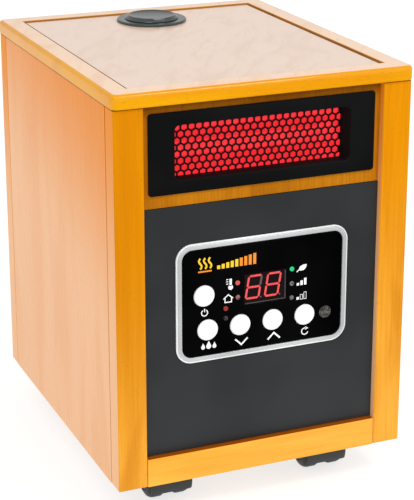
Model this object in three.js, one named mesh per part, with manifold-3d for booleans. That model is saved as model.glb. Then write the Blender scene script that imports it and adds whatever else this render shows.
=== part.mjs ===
// Portable cabinet heater with a humidifier: a veneered wooden cabinet on four swivel casters.
// Air comes in through a filter in the back, passes a blower, a ceramic element and two quartz
// lamps, and leaves through a hexagonal guard in the front.
// Units are millimetres, +X is the heater's left-to-right as seen from the front, +Y is
// backwards and +Z is up. The origin is on the floor under the middle of the cabinet.

import * as THREE from 'three';
import { mergeVertices } from 'three/addons/utils/BufferGeometryUtils.js';
import Module from 'manifold-3d';

const wasm = await Module();
wasm.setup();

// ---------------------------------------------------------------- driving dimensions

const GAP = 0.3; // between pieces that touch
const GROOVE = 0.8; // shadow line between a side panel and its stiles

const CABINET = { width: 280, depth: 330, height: 349, clearance: 35 };
const FRONT = -CABINET.depth / 2;
const BACK = CABINET.depth / 2;
const SIDE = CABINET.width / 2;
const SKIRT = CABINET.clearance; // lower edge of the cabinet
const EAVES = SKIRT + CABINET.height; // underside of the top board

const STILE = { width: 27.25, depth: 20 };
const RAIL_HEIGHT = 26.7;
const PANEL = { thickness: 12, tongue: 6, tongueWidth: 6 };
const TOP = { thickness: 13, sideOverhang: 1.4, endOverhang: 2.5, edgeRadius: 4, cornerRadius: 3 };
const INSET = {
  width: 243,
  depth: 296,
  drop: 1.5,
  ledge: 5,
  ledgeHeight: 3.2,
  thickness: 8,
  shadowGap: 2.6, // open groove between the panel and the board round it
};
const BASE = { thickness: 12, lift: 15 };
const TOP_FACE = EAVES + TOP.thickness;
const INSET_FACE = TOP_FACE - INSET.drop;
const BASE_UNDERSIDE = SKIRT + BASE.lift;
const BASE_FACE = BASE_UNDERSIDE + BASE.thickness;

const OPENING_HALF = SIDE - STILE.width; // half the clear width between the stiles
const OPENING_FLOOR = SKIRT + RAIL_HEIGHT;
const BOARD_WIDTH = 2 * (OPENING_HALF - GAP); // of a board that fits between the stiles
const FASCIA_TOP = SKIRT + 256.8;
const VENEER = { recess: 7, thickness: 8 };
const FASCIA = { recess: 6, thickness: 5 };

const OUTLET = {
  z: SKIRT + 304.65, // middle of the outlet
  flange: { width: 214, height: 72.3, radius: 3, thickness: 1.7, proud: 2 },
  window: { width: 166, height: 48.5, radius: 5, taper: 3, depth: 14 },
  duct: { width: 175, height: 59, back: -136 },
  pocket: { width: 170, height: 55 },
};
const GRILLE = { pitch: 6.87, web: 1.65, rows: 8, columns: 24, thickness: 1.6, drop: 2.75 };

const CONTROLS = {
  z: SKIRT + 166, // middle of the control module
  ring: { width: 166, height: 111, radius: 15, band: 6, thickness: 1.9, bevel: 0.8 },
  overlay: { width: 153.4, height: 98.4, radius: 9, thickness: 1.4 },
  opening: { width: 144, height: 90 },
  board: { width: 140, height: 86, thickness: 1.6, setBack: 10.6 },
  post: { x: 66, z: 39, radius: 2.5 },
  switchSize: 6,
  switchHeight: 3.5,
};
const BUTTON = {
  radius: 9.7,
  proud: 1.7,
  flange: 11.2,
  flangeSetBack: 0.4, // behind the overlay, so that the press has its whole travel
  flangeThickness: 1.2,
  stem: 3,
  travel: 0.8,
  clearance: 0.35,
};
const BUTTONS = {
  button_power: [-56.8, 6.5],
  button_humidifier: [-53.5, -25.8],
  button_down: [-22.2, -25.8],
  button_up: [9.4, -25.8],
  button_mode: [41, -25.8],
};
const INDICATORS = {
  left: [[-24.8, 14.1], [-24.6, 0.7], [-36.1, -8.4], [-36.1, -17.4]],
  right: [[27.9, 19.6], [27.9, 5.9], [27.9, -7.6]],
  radius: 1.7,
};
const LENS_PLATE = {
  depth: [3.2, 5.2],
  left: [-38, -22.6],
  right: [25, 31],
  tall: [-11, 26],
  bridge: [22.4, 26], // passes over the display
  tail: { x: [-38, -34.2], z: [-19.6, -4] },
};
const DISPLAY = { x: 2, z: 6.4, width: 40.4, height: 28 };
const RECEIVER = { x: 61.8, z: -26.4, radius: 5.8, body: 7 };

const REAR = { recess: 12, thickness: 6 };
const INTAKE = {
  z: 150,
  width: 152,
  height: 118,
  margin: 12,
  thickness: 3,
  slotPitch: 10,
  slotHeight: 5,
  land: 4, // plain strip beside and between the slots
  channel: { wall: 3, hook: 7, hookThickness: 2 },
};
const FILTER = {
  width: 169,
  height: 130,
  thickness: 4.7,
  border: 8,
  middleBar: 6,
  slot: { thickness: 1.8, depth: 2 }, // groove in the border that holds the mesh
  mesh: { thickness: 1.2, depth: 1.7 },
  pull: { width: 32, height: 7, proud: 2 },
};
const GLAND = { x: 100.5, z: 84, bore: 4, neck: 7.5, flange: 11, reach: 9, nose: 5 };

const BLOWER = {
  x: 9,
  y: 110,
  z: 150,
  depth: 52,
  wall: 2,
  cutoff: 60,
  growth: 24,
  foot: { x: 34, width: 12 },
};
const WHEEL = {
  radius: 55,
  depth: 42,
  clearance: 5, // from the back plate to the housing's outside
  plate: 2,
  rim: { width: 8, depth: 3 },
  blades: 16,
  blade: { width: 7.4, thickness: 1.2, radius: 50.5, lean: 0.5 },
  hub: { radius: 9, length: 16 },
  shaft: { radius: 3, reach: 26 },
};
const MOTOR = { radius: 32, length: 40, chamfer: 6, bore: 3.4, boreDepth: 30 };
const CHAMBER = { width: 186, front: -135.7, back: 72, floor: 309, ceiling: 377, wall: 1.5 };
const RISER = { left: 38, right: 93, back: 138, floor: 254 };
const LAMP = { y: -113, z: [329, 353], radius: 6, capRadius: 8, capLength: 12, length: 179.4 };
const REFLECTOR = { setBack: 17, sheet: 1.2, lip: 12, dish: 4, margin: 7, land: 9 };
const ELEMENT = {
  y: -10,
  depth: 20,
  halfWidth: 91.2,
  strip: 5,
  fins: 16,
  finHeight: 27,
  finThickness: 1.2,
  edge: 1.5,
};
const CUTOUT = { x: -60, y: 20, radius: 8, height: 9 };
const POWER_BOARD = {
  x: -112,
  y: -118,
  width: 84,
  depth: 92,
  thickness: 1.6,
  lift: 8,
  foot: 4,
  parts: {
    transformer: { x: [8, 44], y: [10, 44], height: 30 },
    relay: { x: [54, 74], y: [12, 40], height: 18 },
    heatSink: { x: [10, 70], y: [60, 64], height: 32 },
  },
};
const TIP_OVER = { x: 78, y: -87, width: 24, depth: 18, height: 22, plateWidth: 36, plateThickness: 3 };

const CUP = { y: 110, radius: 27.6, wall: 2, flange: 34.4, flangeThickness: 2.2, floor: 300 };
const CAP = {
  radius: 25.5,
  rim: 23.4,
  height: 3.4,
  dish: 2.2,
  plug: 25,
  plugDepth: 5,
  plugWall: 2.2,
  notch: 16,
};
const CRADLE = { clearance: 0.8, wall: 1.2, floor: 2 };
const MIST_DISC = { radius: 11, thickness: 3.2 };

const CASTER = {
  x: 79,
  y: 104,
  wheelRadius: 19,
  wheelWidth: 14.5,
  innerGap: 13,
  trail: 13,
  plate: 40,
  plateThickness: 2.6,
  boss: { radius: 9, height: 1.2 },
  axle: 3,
  bore: 3.3,
  webClearance: 0.8, // between the hood's web and each wheel
  collarHeight: 5,
  guard: { clearance: 1.2, thickness: 1.8, from: Math.PI * 0.16, to: Math.PI * 1.16 },
};

// ---------------------------------------------------------------- finishes

const finish = (color, roughness, metalness = 0) => ({ color, roughness, metalness });
const FINISHES = {
  frameWood: finish(0xe99a1c, 0.4),
  sideVeneer: finish(0xe8a263, 0.4),
  topVeneer: finish(0xe9d2bf, 0.35),
  rawBoard: finish(0xb99262, 0.8),
  blackPlastic: finish(0x17191a, 0.45),
  greyFascia: finish(0x3b3c3e, 0.5),
  silver: finish(0xc9cbcb, 0.35, 0.6),
  glossBlack: finish(0x050506, 0.1),
  white: finish(0xf2f4f5, 0.35),
  display: finish(0x2a0a0a, 0.2),
  clear: finish(0xb8c4be, 0.15),
  circuit: finish(0x1d5b34, 0.5),
  steel: finish(0xb4b7b8, 0.35, 0.9),
  aluminium: finish(0xc4c8ca, 0.4, 0.9),
  ceramic: finish(0xe9e4d8, 0.7),
  quartz: finish(0xf04a35, 0.1),
  motor: finish(0x6d7276, 0.4, 0.8),
  casterPlastic: finish(0x393e3f, 0.5),
  capPlastic: finish(0x49545a, 0.35),
  filter: finish(0x2b2e30, 0.9),
};

// ---------------------------------------------------------------- solids

/** The signed volume of an indexed geometry. */
function signedVolume(points, triangles) {
  const [a, b, c] = [new THREE.Vector3(), new THREE.Vector3(), new THREE.Vector3()];
  let volume = 0;
  for (let i = 0; i < triangles.length; i += 3) {
    a.fromArray(points, triangles[i] * 3);
    b.fromArray(points, triangles[i + 1] * 3);
    c.fromArray(points, triangles[i + 2] * 3);
    volume += a.dot(b.cross(c)) / 6;
  }
  return volume;
}

/** Turns a closed three.js geometry into a solid that can be joined and cut. */
function solid(geometry) {
  const bare = geometry.clone();
  bare.deleteAttribute('normal');
  bare.deleteAttribute('uv');
  const merged = mergeVertices(bare, 1e-4);
  const points = new Float32Array(merged.attributes.position.array);
  const triangles = [];
  const index = merged.index.array;
  for (let i = 0; i < index.length; i += 3) {
    const [p, q, r] = [index[i], index[i + 1], index[i + 2]];
    if (p !== q && q !== r && r !== p) {
      triangles.push(p, q, r);
    }
  }
  if (signedVolume(points, triangles) < 0) {
    triangles.reverse();
  }
  const mesh = new wasm.Mesh({ numProp: 3, vertProperties: points, triVerts: new Uint32Array(triangles) });
  return new wasm.Manifold(mesh);
}

/** A flat-shaded three.js geometry of a solid. */
function shell(body) {
  const mesh = body.getMesh();
  const geometry = new THREE.BufferGeometry();
  geometry.setAttribute('position', new THREE.BufferAttribute(new Float32Array(mesh.vertProperties), 3));
  geometry.setIndex(new THREE.BufferAttribute(new Uint32Array(mesh.triVerts), 1));
  geometry.computeVertexNormals();
  return geometry;
}

const join = (...bodies) => bodies.reduce((sum, body) => sum.add(body));
const cut = (body, ...tools) => tools.reduce((rest, tool) => rest.subtract(tool), body);
const common = (a, b) => a.intersect(b);

/** A block between two corners, given as its spans along X, Y and Z. */
function block([x0, x1], [y0, y1], [z0, z1]) {
  const geometry = new THREE.BoxGeometry(x1 - x0, y1 - y0, z1 - z0);
  return solid(geometry.translate((x0 + x1) / 2, (y0 + y1) / 2, (z0 + z1) / 2));
}

const ascending = (a, b) => a - b;

/** A span of the given size round a middle. */
const about = (middle, size) => [middle - size / 2, middle + size / 2];

/** A span a little longer than another, for a tool that cuts right through it. */
const past = ([low, high]) => [low - 1, high + 1];

/** A closed outline through points. */
const outline = (points) => new THREE.Shape(points.map(([x, y]) => new THREE.Vector2(x, y)));

/** A rectangle with round corners, centred on a point. */
function roundedRect(width, height, radius, [cx, cy] = [0, 0]) {
  const [left, right] = about(cx, width);
  const [low, high] = about(cy, height);
  const shape = new THREE.Shape();
  shape.moveTo(left + radius, low);
  shape.lineTo(right - radius, low);
  shape.absarc(right - radius, low + radius, radius, -Math.PI / 2, 0);
  shape.lineTo(right, high - radius);
  shape.absarc(right - radius, high - radius, radius, 0, Math.PI / 2);
  shape.lineTo(left + radius, high);
  shape.absarc(left + radius, high - radius, radius, Math.PI / 2, Math.PI);
  shape.lineTo(left, low + radius);
  shape.absarc(left + radius, low + radius, radius, Math.PI, Math.PI * 1.5);
  return shape;
}

/** Extrudes an outline drawn in plan (X, Y) upwards from z0 to z1. */
function prismZ(shape, [z0, z1], curveSegments = 4) {
  const geometry = new THREE.ExtrudeGeometry(shape, { depth: z1 - z0, bevelEnabled: false, curveSegments });
  return solid(geometry.translate(0, 0, z0));
}

/** Extrudes an outline drawn in elevation (X, Z) backwards from y0 to y1. */
function prismY(shape, [y0, y1], curveSegments = 4) {
  const geometry = new THREE.ExtrudeGeometry(shape, { depth: y1 - y0, bevelEnabled: false, curveSegments });
  return solid(geometry.rotateX(Math.PI / 2).translate(0, y1, 0));
}

/** Extrudes an outline drawn from the side (Y, Z) across from x0 to x1. */
function prismX(shape, [x0, x1], curveSegments = 4) {
  const geometry = new THREE.ExtrudeGeometry(shape, { depth: x1 - x0, bevelEnabled: false, curveSegments });
  const basis = new THREE.Matrix4().makeBasis(
    new THREE.Vector3(0, 1, 0),
    new THREE.Vector3(0, 0, 1),
    new THREE.Vector3(1, 0, 0),
  );
  return solid(geometry.applyMatrix4(basis).translate(x0, 0, 0));
}

/** Turns a profile of [radius, height] points round the Z axis. */
function turnZ(profile, segments = 24) {
  const points = profile.map(([r, z]) => new THREE.Vector2(r, z));
  return solid(new THREE.LatheGeometry(points, segments).rotateX(Math.PI / 2));
}

/** Turns a profile of [radius, distance] points round the Y axis. */
function turnY(profile, segments = 24) {
  const points = profile.map(([r, y]) => new THREE.Vector2(r, y));
  return solid(new THREE.LatheGeometry(points, segments));
}

/** Turns a profile of [radius, distance] points round the X axis. */
function turnX(profile, segments = 24) {
  const points = profile.map(([r, x]) => new THREE.Vector2(r, x));
  return solid(new THREE.LatheGeometry(points, segments).rotateZ(-Math.PI / 2));
}

/** The profile of a plain round bar or disc between two distances. */
const bar = (radius, [from, to]) => [[0, from], [radius, from], [radius, to], [0, to]];

/** The closed profile of a ring between two radii and two distances. */
const ring = (inner, outer, [from, to]) => [
  [inner, from],
  [outer, from],
  [outer, to],
  [inner, to],
  [inner, from],
];

/** Moves a solid by way of its geometry. */
const moved = (body, x, y, z) => solid(shell(body).translate(x, y, z));

/** Copies of a solid at places given as [x, z]. */
const copies = (body, places) => places.map(([x, z]) => moved(body, x, 0, z));

/** A named part of the assembly. */
function part(name, body, look, position = [0, 0, 0]) {
  const mesh = new THREE.Mesh(shell(body), new THREE.MeshStandardMaterial(look));
  mesh.name = name;
  mesh.position.set(...position);
  return mesh;
}

/** A group of parts placed together. */
function assembly(parts, position = [0, 0, 0]) {
  const group = new THREE.Group();
  group.add(...parts);
  group.position.set(...position);
  return group;
}

// ---------------------------------------------------------------- cabinet

/** A corner stile with a groove for the side panel's tongue; side is -1 or 1, end is -1 or 1. */
function stile(side, end) {
  const outer = side * SIDE;
  const inner = side * OPENING_HALF;
  const face = end * BACK;
  const rear = end * (BACK - STILE.depth);
  const upright = [SKIRT, EAVES - GAP];
  const post = block([outer, inner].sort(ascending), [face, rear].sort(ascending), upright);
  const grooveX = about(side * (SIDE - PANEL.thickness / 2), PANEL.tongueWidth + 2 * GAP);
  const grooveY = [rear, rear + end * (PANEL.tongue + GAP)].sort(ascending);
  return cut(post, block(grooveX, grooveY, past(upright)));
}

/** A side panel with a tongue at each end. */
function sidePanel(side) {
  const half = BACK - STILE.depth;
  const [xa, xb] = [side * SIDE, side * (SIDE - PANEL.thickness)].sort(ascending);
  const tongueX = about(side * (SIDE - PANEL.thickness / 2), PANEL.tongueWidth);
  const tongueEnd = half + PANEL.tongue - GAP;
  const upright = [SKIRT, EAVES - GAP];
  const board = block([xa, xb], [-half + GROOVE, half - GROOVE], upright);
  return join(board, block(tongueX, [-tongueEnd, tongueEnd], upright));
}

/** The bar between two stiles at the foot of the front or the back. */
function bottomRail(end) {
  const [ya, yb] = [end * BACK, end * (BACK - STILE.depth)].sort(ascending);
  return block(about(0, BOARD_WIDTH), [ya, yb], [SKIRT, OPENING_FLOOR]);
}

/** The top board: round upper edges, and a rebated opening for the inset panel. */
function topFrame() {
  const { thickness, edgeRadius, cornerRadius } = TOP;
  const width = CABINET.width + 2 * TOP.sideOverhang;
  const depth = CABINET.depth + 2 * TOP.endOverhang;
  const blank = new THREE.ExtrudeGeometry(
    roundedRect(width - 2 * edgeRadius, depth - 2 * edgeRadius, cornerRadius),
    {
      depth: thickness,
      bevelThickness: edgeRadius,
      bevelSize: edgeRadius,
      bevelSegments: 4,
      curveSegments: 3,
    },
  );
  const board = solid(blank.translate(0, 0, EAVES - edgeRadius));
  const below = block([-SIDE * 2, SIDE * 2], [FRONT * 2, BACK * 2], [EAVES - 3 * edgeRadius, EAVES]);
  const seat = EAVES + INSET.ledgeHeight;
  const [holeWidth, holeDepth] = [INSET.width - 2 * INSET.ledge, INSET.depth - 2 * INSET.ledge];
  const well = block(about(0, INSET.width), about(0, INSET.depth), [seat, TOP_FACE + 1]);
  const hole = block(about(0, holeWidth), about(0, holeDepth), [EAVES - 1, seat + 1]);
  return cut(board, below, well, hole);
}

/** The veneered panel let into the top board, with the hole for the water cup. */
function topPanel() {
  const blank = block(
    about(0, INSET.width - 2 * INSET.shadowGap),
    about(0, INSET.depth - 2 * INSET.shadowGap),
    [INSET_FACE - INSET.thickness, INSET_FACE],
  );
  const through = past([INSET_FACE - INSET.thickness, INSET_FACE]);
  const hole = turnZ(bar(CUP.radius + CRADLE.clearance, through), 24);
  return cut(blank, moved(hole, 0, CUP.y, 0));
}

function cabinet() {
  const { frameWood, sideVeneer, topVeneer, rawBoard } = FINISHES;
  const innerHalf = SIDE - PANEL.thickness - GAP;
  const innerEnd = BACK - STILE.depth - GAP;
  const base = block([-innerHalf, innerHalf], [-innerEnd, innerEnd], [BASE_UNDERSIDE, BASE_FACE]);
  return assembly([
    part('front_left_stile', stile(-1, -1), frameWood),
    part('front_right_stile', stile(1, -1), frameWood),
    part('front_bottom_rail', bottomRail(-1), frameWood),
    part('rear_left_stile', stile(-1, 1), frameWood),
    part('rear_right_stile', stile(1, 1), frameWood),
    part('rear_bottom_rail', bottomRail(1), frameWood),
    part('left_side_panel', sidePanel(-1), sideVeneer),
    part('right_side_panel', sidePanel(1), sideVeneer),
    part('top_frame', topFrame(), frameWood),
    part('top_panel', topPanel(), topVeneer),
    part('base_board', base, rawBoard),
  ]);
}

// ---------------------------------------------------------------- front

/** The veneered board round the outlet. */
function upperFrontPanel() {
  const face = FRONT + VENEER.recess;
  const span = [face, face + VENEER.thickness];
  const { width, height } = OUTLET.duct;
  const board = block(about(0, BOARD_WIDTH), span, [FASCIA_TOP + GAP, EAVES - GAP]);
  return cut(board, block(past(about(0, width)), past(span), past(about(OUTLET.z, height))));
}

/** The plain grey board below the outlet, open behind the control module. */
function frontFascia() {
  const face = FRONT + FASCIA.recess;
  const span = [face, face + FASCIA.thickness];
  const { width, height } = CONTROLS.opening;
  const board = block(about(0, BOARD_WIDTH), span, [OPENING_FLOOR + GAP, FASCIA_TOP]);
  return cut(board, block(about(0, width), past(span), about(CONTROLS.z, height)));
}

/** The outlet's flange and duct; the window narrows towards the guard. */
function outletBezel() {
  const { flange, window, duct, pocket, z } = OUTLET;
  const face = FRONT + VENEER.recess - flange.proud;
  const ledge = face + window.depth;
  const plateOutline = roundedRect(flange.width, flange.height, flange.radius, [0, z]);
  const plate = prismY(plateOutline, [face, face + flange.thickness]);
  const tube = block(about(0, duct.width), [face + 1, duct.back], about(z, duct.height));
  const near = window.width / 2;
  const far = near - window.taper;
  const [open, deep] = past([face, ledge]);
  const narrowing = outline([[-near, open], [near, open], [far, deep], [-far, deep]]);
  const wedge = prismZ(narrowing, about(z, 2 * window.height));
  const windowOutline = roundedRect(window.width, window.height, window.radius, [0, z]);
  const hole = prismY(windowOutline, [open, deep]);
  const rearPocket = block(about(0, pocket.width), [ledge, duct.back + 1], about(z, pocket.height));
  return cut(join(plate, tube), common(wedge, hole), rearPocket);
}

/** The hexagonal guard: rows of six-sided holes, each row half a pitch along from the next. */
function outletGrille() {
  const { pitch, web, rows, columns, thickness, drop } = GRILLE;
  const { pocket, window, flange, z } = OUTLET;
  const plate = roundedRect(pocket.width - 2 * GAP, pocket.height - 2 * GAP, 1, [0, z]);
  const corner = (pitch - web) / Math.sqrt(3);
  const rowStep = (pitch * Math.sqrt(3)) / 2;
  for (let row = 0; row < rows; row += 1) {
    const holesInRow = columns - (row % 2);
    const cz = z - drop + (row - (rows - 1) / 2) * rowStep;
    for (let column = 0; column < holesInRow; column += 1) {
      const cx = (column - (holesInRow - 1) / 2) * pitch;
      const hexagon = new THREE.Path();
      for (let k = 0; k < 6; k += 1) {
        const angle = Math.PI / 2 - (k * Math.PI) / 3;
        const point = [cx + corner * Math.cos(angle), cz + corner * Math.sin(angle)];
        if (k === 0) {
          hexagon.moveTo(...point);
        } else {
          hexagon.lineTo(...point);
        }
      }
      hexagon.closePath();
      plate.holes.push(hexagon);
    }
  }
  const face = FRONT + VENEER.recess - flange.proud + window.depth + GAP;
  return prismY(plate, [face, face + thickness], 1);
}

function front() {
  return assembly([
    part('upper_front_panel', upperFrontPanel(), FINISHES.frameWood),
    part('front_fascia', frontFascia(), FINISHES.greyFascia),
    part('outlet_bezel', outletBezel(), FINISHES.blackPlastic),
    part('outlet_grille', outletGrille(), FINISHES.blackPlastic),
  ]);
}

// ---------------------------------------------------------------- controls
// Everything here is placed from the middle of the module, with y = 0 at the fascia's face.

const OVERLAY_BACK = -GAP;
const OVERLAY_FACE = OVERLAY_BACK - CONTROLS.overlay.thickness;
const BOARD_FACE = CONTROLS.board.setBack;
const SWITCH_TIP = BOARD_FACE - CONTROLS.switchHeight;

/** The silver ring, its front edges bevelled. */
function controlFrame() {
  const { width, height, radius, band, thickness, bevel } = CONTROLS.ring;
  const shape = roundedRect(width - 2 * bevel, height - 2 * bevel, radius - bevel);
  const inset = band - bevel;
  shape.holes.push(roundedRect(width - 2 * inset, height - 2 * inset, radius - inset));
  const blank = new THREE.ExtrudeGeometry(shape, {
    depth: thickness,
    bevelThickness: bevel,
    bevelSize: bevel,
    bevelSegments: 1,
    curveSegments: 4,
  });
  const raised = solid(blank.rotateX(Math.PI / 2));
  return cut(raised, block(about(0, width * 2), [-GAP, 10], about(0, height * 2)));
}

/** The gloss overlay with its holes, and the four posts behind it. */
function controlOverlay() {
  const { width, height, radius } = CONTROLS.overlay;
  const plate = prismY(roundedRect(width, height, radius), [OVERLAY_FACE, OVERLAY_BACK], 4);
  const through = past([OVERLAY_FACE, OVERLAY_BACK]);
  const buttonHole = turnY(bar(BUTTON.radius + BUTTON.clearance, through), 16);
  const lensHole = turnY(bar(INDICATORS.radius + GAP, through), 8);
  const receiverHole = turnY(bar(RECEIVER.radius + GAP, through), 12);
  const [windowWidth, windowHeight] = [DISPLAY.width + 2 * GAP, DISPLAY.height + 2 * GAP];
  const tools = [
    ...copies(buttonHole, Object.values(BUTTONS)),
    ...copies(lensHole, [...INDICATORS.left, ...INDICATORS.right]),
    ...copies(receiverHole, [[RECEIVER.x, RECEIVER.z]]),
    block(about(DISPLAY.x, windowWidth), through, about(DISPLAY.z, windowHeight)),
  ];
  const { x, z, radius: postRadius } = CONTROLS.post;
  const post = turnY(bar(postRadius, [OVERLAY_FACE + 0.5, BOARD_FACE - GAP]), 6);
  return join(cut(plate, ...tools), ...copies(post, [[-x, -z], [-x, z], [x, -z], [x, z]]));
}

/** A round push button: domed cap, retaining flange behind the overlay, and stem. */
function pushButton() {
  const { radius, proud, flange, stem } = BUTTON;
  const top = OVERLAY_FACE - proud;
  const flangeFace = OVERLAY_BACK + BUTTON.flangeSetBack;
  const flangeBack = flangeFace + BUTTON.flangeThickness;
  const stemEnd = SWITCH_TIP - BUTTON.travel - GAP;
  return turnY([
    [0, top],
    [radius * 0.6, top + 0.15],
    [radius - 0.7, top + 0.6],
    [radius, top + 1.3],
    [radius, flangeFace],
    [flange, flangeFace],
    [flange, flangeBack],
    [stem, flangeBack],
    [stem, stemEnd],
    [0, stemEnd],
  ], 16);
}

/** The circuit board with a small press switch behind each button. */
function controlBoard() {
  const { width, height, thickness } = CONTROLS.board;
  const board = block(about(0, width), [BOARD_FACE, BOARD_FACE + thickness], about(0, height));
  const switches = Object.values(BUTTONS).map(([x, z]) => {
    const size = CONTROLS.switchSize;
    return block(about(x, size), [SWITCH_TIP, BOARD_FACE + 0.5], about(z, size));
  });
  return join(board, ...switches);
}

/** The indicators are the round ends of one clear moulding that passes over the display. */
function indicatorLenses() {
  const { depth, left, right, tall, bridge, tail } = LENS_PLATE;
  const plate = join(
    block(left, depth, tall),
    block(right, depth, tall),
    block([left[0], right[1]], depth, bridge),
    block(tail.x, depth, tail.z),
  );
  const peg = turnY(bar(INDICATORS.radius, [OVERLAY_FACE - 0.2, depth[0] + 0.8]), 8);
  return join(plate, ...copies(peg, [...INDICATORS.left, ...INDICATORS.right]));
}

/** The remote control's receiver: a round window on a small block. */
function irReceiver() {
  const window = turnY(bar(RECEIVER.radius, [OVERLAY_FACE + 0.1, 3]), 12);
  const body = block(about(0, RECEIVER.body), [2, BOARD_FACE - GAP], about(0, RECEIVER.body));
  return moved(join(window, body), RECEIVER.x, 0, RECEIVER.z);
}

function controls() {
  const display = block(
    about(DISPLAY.x, DISPLAY.width),
    [OVERLAY_FACE + 0.2, BOARD_FACE - GAP],
    about(DISPLAY.z, DISPLAY.height),
  );
  const cap = pushButton();
  const buttons = Object.entries(BUTTONS).map(([name, [x, z]]) =>
    part(name, cap, FINISHES.white, [x, 0, z]),
  );
  return assembly(
    [
      part('control_frame', controlFrame(), FINISHES.silver),
      part('control_overlay', controlOverlay(), FINISHES.glossBlack),
      part('display_module', display, FINISHES.display),
      part('indicator_lenses', indicatorLenses(), FINISHES.clear),
      part('ir_receiver', irReceiver(), FINISHES.glossBlack),
      part('control_board', controlBoard(), FINISHES.circuit),
      ...buttons,
    ],
    [0, FRONT + FASCIA.recess, CONTROLS.z],
  );
}

// ---------------------------------------------------------------- back

const REAR_FACE = BACK - REAR.recess;

/** The board that closes the back, open at the intake and at the cord's gland. */
function rearPanel() {
  const span = [REAR_FACE - REAR.thickness, REAR_FACE];
  const through = past(span);
  const board = block(about(0, BOARD_WIDTH), span, [OPENING_FLOOR + GAP, EAVES - GAP]);
  const intake = block(about(0, INTAKE.width), through, about(INTAKE.z, INTAKE.height));
  const gland = moved(turnY(bar(GLAND.neck + GAP, through), 16), GLAND.x, 0, GLAND.z);
  return cut(board, intake, gland);
}

/** The slotted intake, with a channel at each side and a stop below for the filter. */
function intakeGrille() {
  const { z, width, height, margin, slotPitch, slotHeight, land, channel } = INTAKE;
  const half = width / 2 + margin;
  const back = REAR_FACE + GAP;
  const face = back + INTAKE.thickness;
  const lip = BACK - 1;
  const tall = about(z, height + 2 * margin);
  const sideChannel = (side) => {
    const wall = [side * (half - channel.wall), side * half].sort(ascending);
    const hook = [side * (half - channel.hook), side * half].sort(ascending);
    return join(block(wall, [back, lip], tall), block(hook, [lip - channel.hookThickness, lip], tall));
  };
  const plate = block([-half, half], [back, face], tall);
  const stop = block([-half, half], [back, lip], [tall[0], tall[0] + channel.wall]);
  const slots = [];
  const [lowest, highest] = [z - height / 2 + slotPitch / 2 + land, z + height / 2 - slotHeight];
  for (let foot = lowest; foot < highest; foot += slotPitch) {
    for (const side of [-1, 1]) {
      const across = [side * land, side * (width / 2 - land)].sort(ascending);
      slots.push(block(across, past([back, face]), [foot, foot + slotHeight]));
    }
  }
  return cut(join(plate, sideChannel(-1), sideChannel(1), stop), ...slots);
}

const FILTER_FRONT = REAR_FACE + 2 * GAP + INTAKE.thickness;
const FILTER_FOOT = INTAKE.z - INTAKE.height / 2 - INTAKE.margin + INTAKE.channel.wall + GAP;

/** The filter's frame with a middle bar and a pull at the top. */
function filterFrame() {
  const { width, height, thickness, border, middleBar, slot, pull } = FILTER;
  const span = [FILTER_FRONT, FILTER_FRONT + thickness];
  const high = FILTER_FOOT + height;
  const frame = block(about(0, width), span, [FILTER_FOOT, high]);
  const panes = [-1, 1].map((side) => {
    const across = [(side * middleBar) / 2, side * (width / 2 - border)].sort(ascending);
    return block(across, past(span), [FILTER_FOOT + border, high - border]);
  });
  const inset = border - slot.depth;
  const meshSlot = block(
    about(0, width - 2 * inset),
    about((span[0] + span[1]) / 2, slot.thickness),
    [FILTER_FOOT + inset, high - inset],
  );
  const tab = block(about(0, pull.width), [span[0], span[1] + pull.proud], [high - 1, high + pull.height]);
  return join(cut(frame, ...panes, meshSlot), tab);
}

function filterMesh() {
  const { width, height, thickness, border, mesh } = FILTER;
  const inset = border - mesh.depth;
  return block(
    about(0, width - 2 * inset),
    about(FILTER_FRONT + thickness / 2, mesh.thickness),
    [FILTER_FOOT + inset, FILTER_FOOT + height - inset],
  );
}

/** The bush that the mains cord would pass through. */
function cordGland() {
  const { bore, neck, flange } = GLAND;
  const inside = REAR_FACE - GLAND.reach;
  const seat = REAR_FACE + GAP;
  const nose = REAR_FACE + GLAND.nose;
  const bush = turnY(
    [
      [bore, inside],
      [neck, inside],
      [neck, seat],
      [flange, seat],
      [flange - 1, nose - 2],
      [bore + 2, nose],
      [bore, nose],
      [bore, inside],
    ],
    16,
  );
  return moved(bush, GLAND.x, 0, GLAND.z);
}

function back() {
  return assembly([
    part('rear_panel', rearPanel(), FINISHES.sideVeneer),
    part('intake_grille', intakeGrille(), FINISHES.blackPlastic),
    part('filter_frame', filterFrame(), FINISHES.blackPlastic),
    part('filter_mesh', filterMesh(), FINISHES.filter),
    part('cord_gland', cordGland(), FINISHES.blackPlastic),
  ]);
}

// ---------------------------------------------------------------- blower

/** The scroll's outline: a spiral that opens into a straight outlet going up. */
function scrollOutline(inset, reach) {
  const { cutoff, growth } = BLOWER;
  const points = [];
  const steps = 18;
  for (let i = 0; i <= steps; i += 1) {
    const turn = (i / steps) * 1.5 * Math.PI;
    const radius = cutoff + (growth * turn) / (1.5 * Math.PI) - inset;
    const angle = Math.PI / 2 + turn;
    points.push([radius * Math.cos(angle), radius * Math.sin(angle)]);
  }
  const outerX = cutoff + growth - inset;
  const tongueX = outerX - (RISER.right - RISER.left) + 2 * inset;
  points.push([outerX, reach]);
  points.push([tongueX, reach]);
  points.push([tongueX, cutoff - inset]);
  return outline(points);
}

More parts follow.
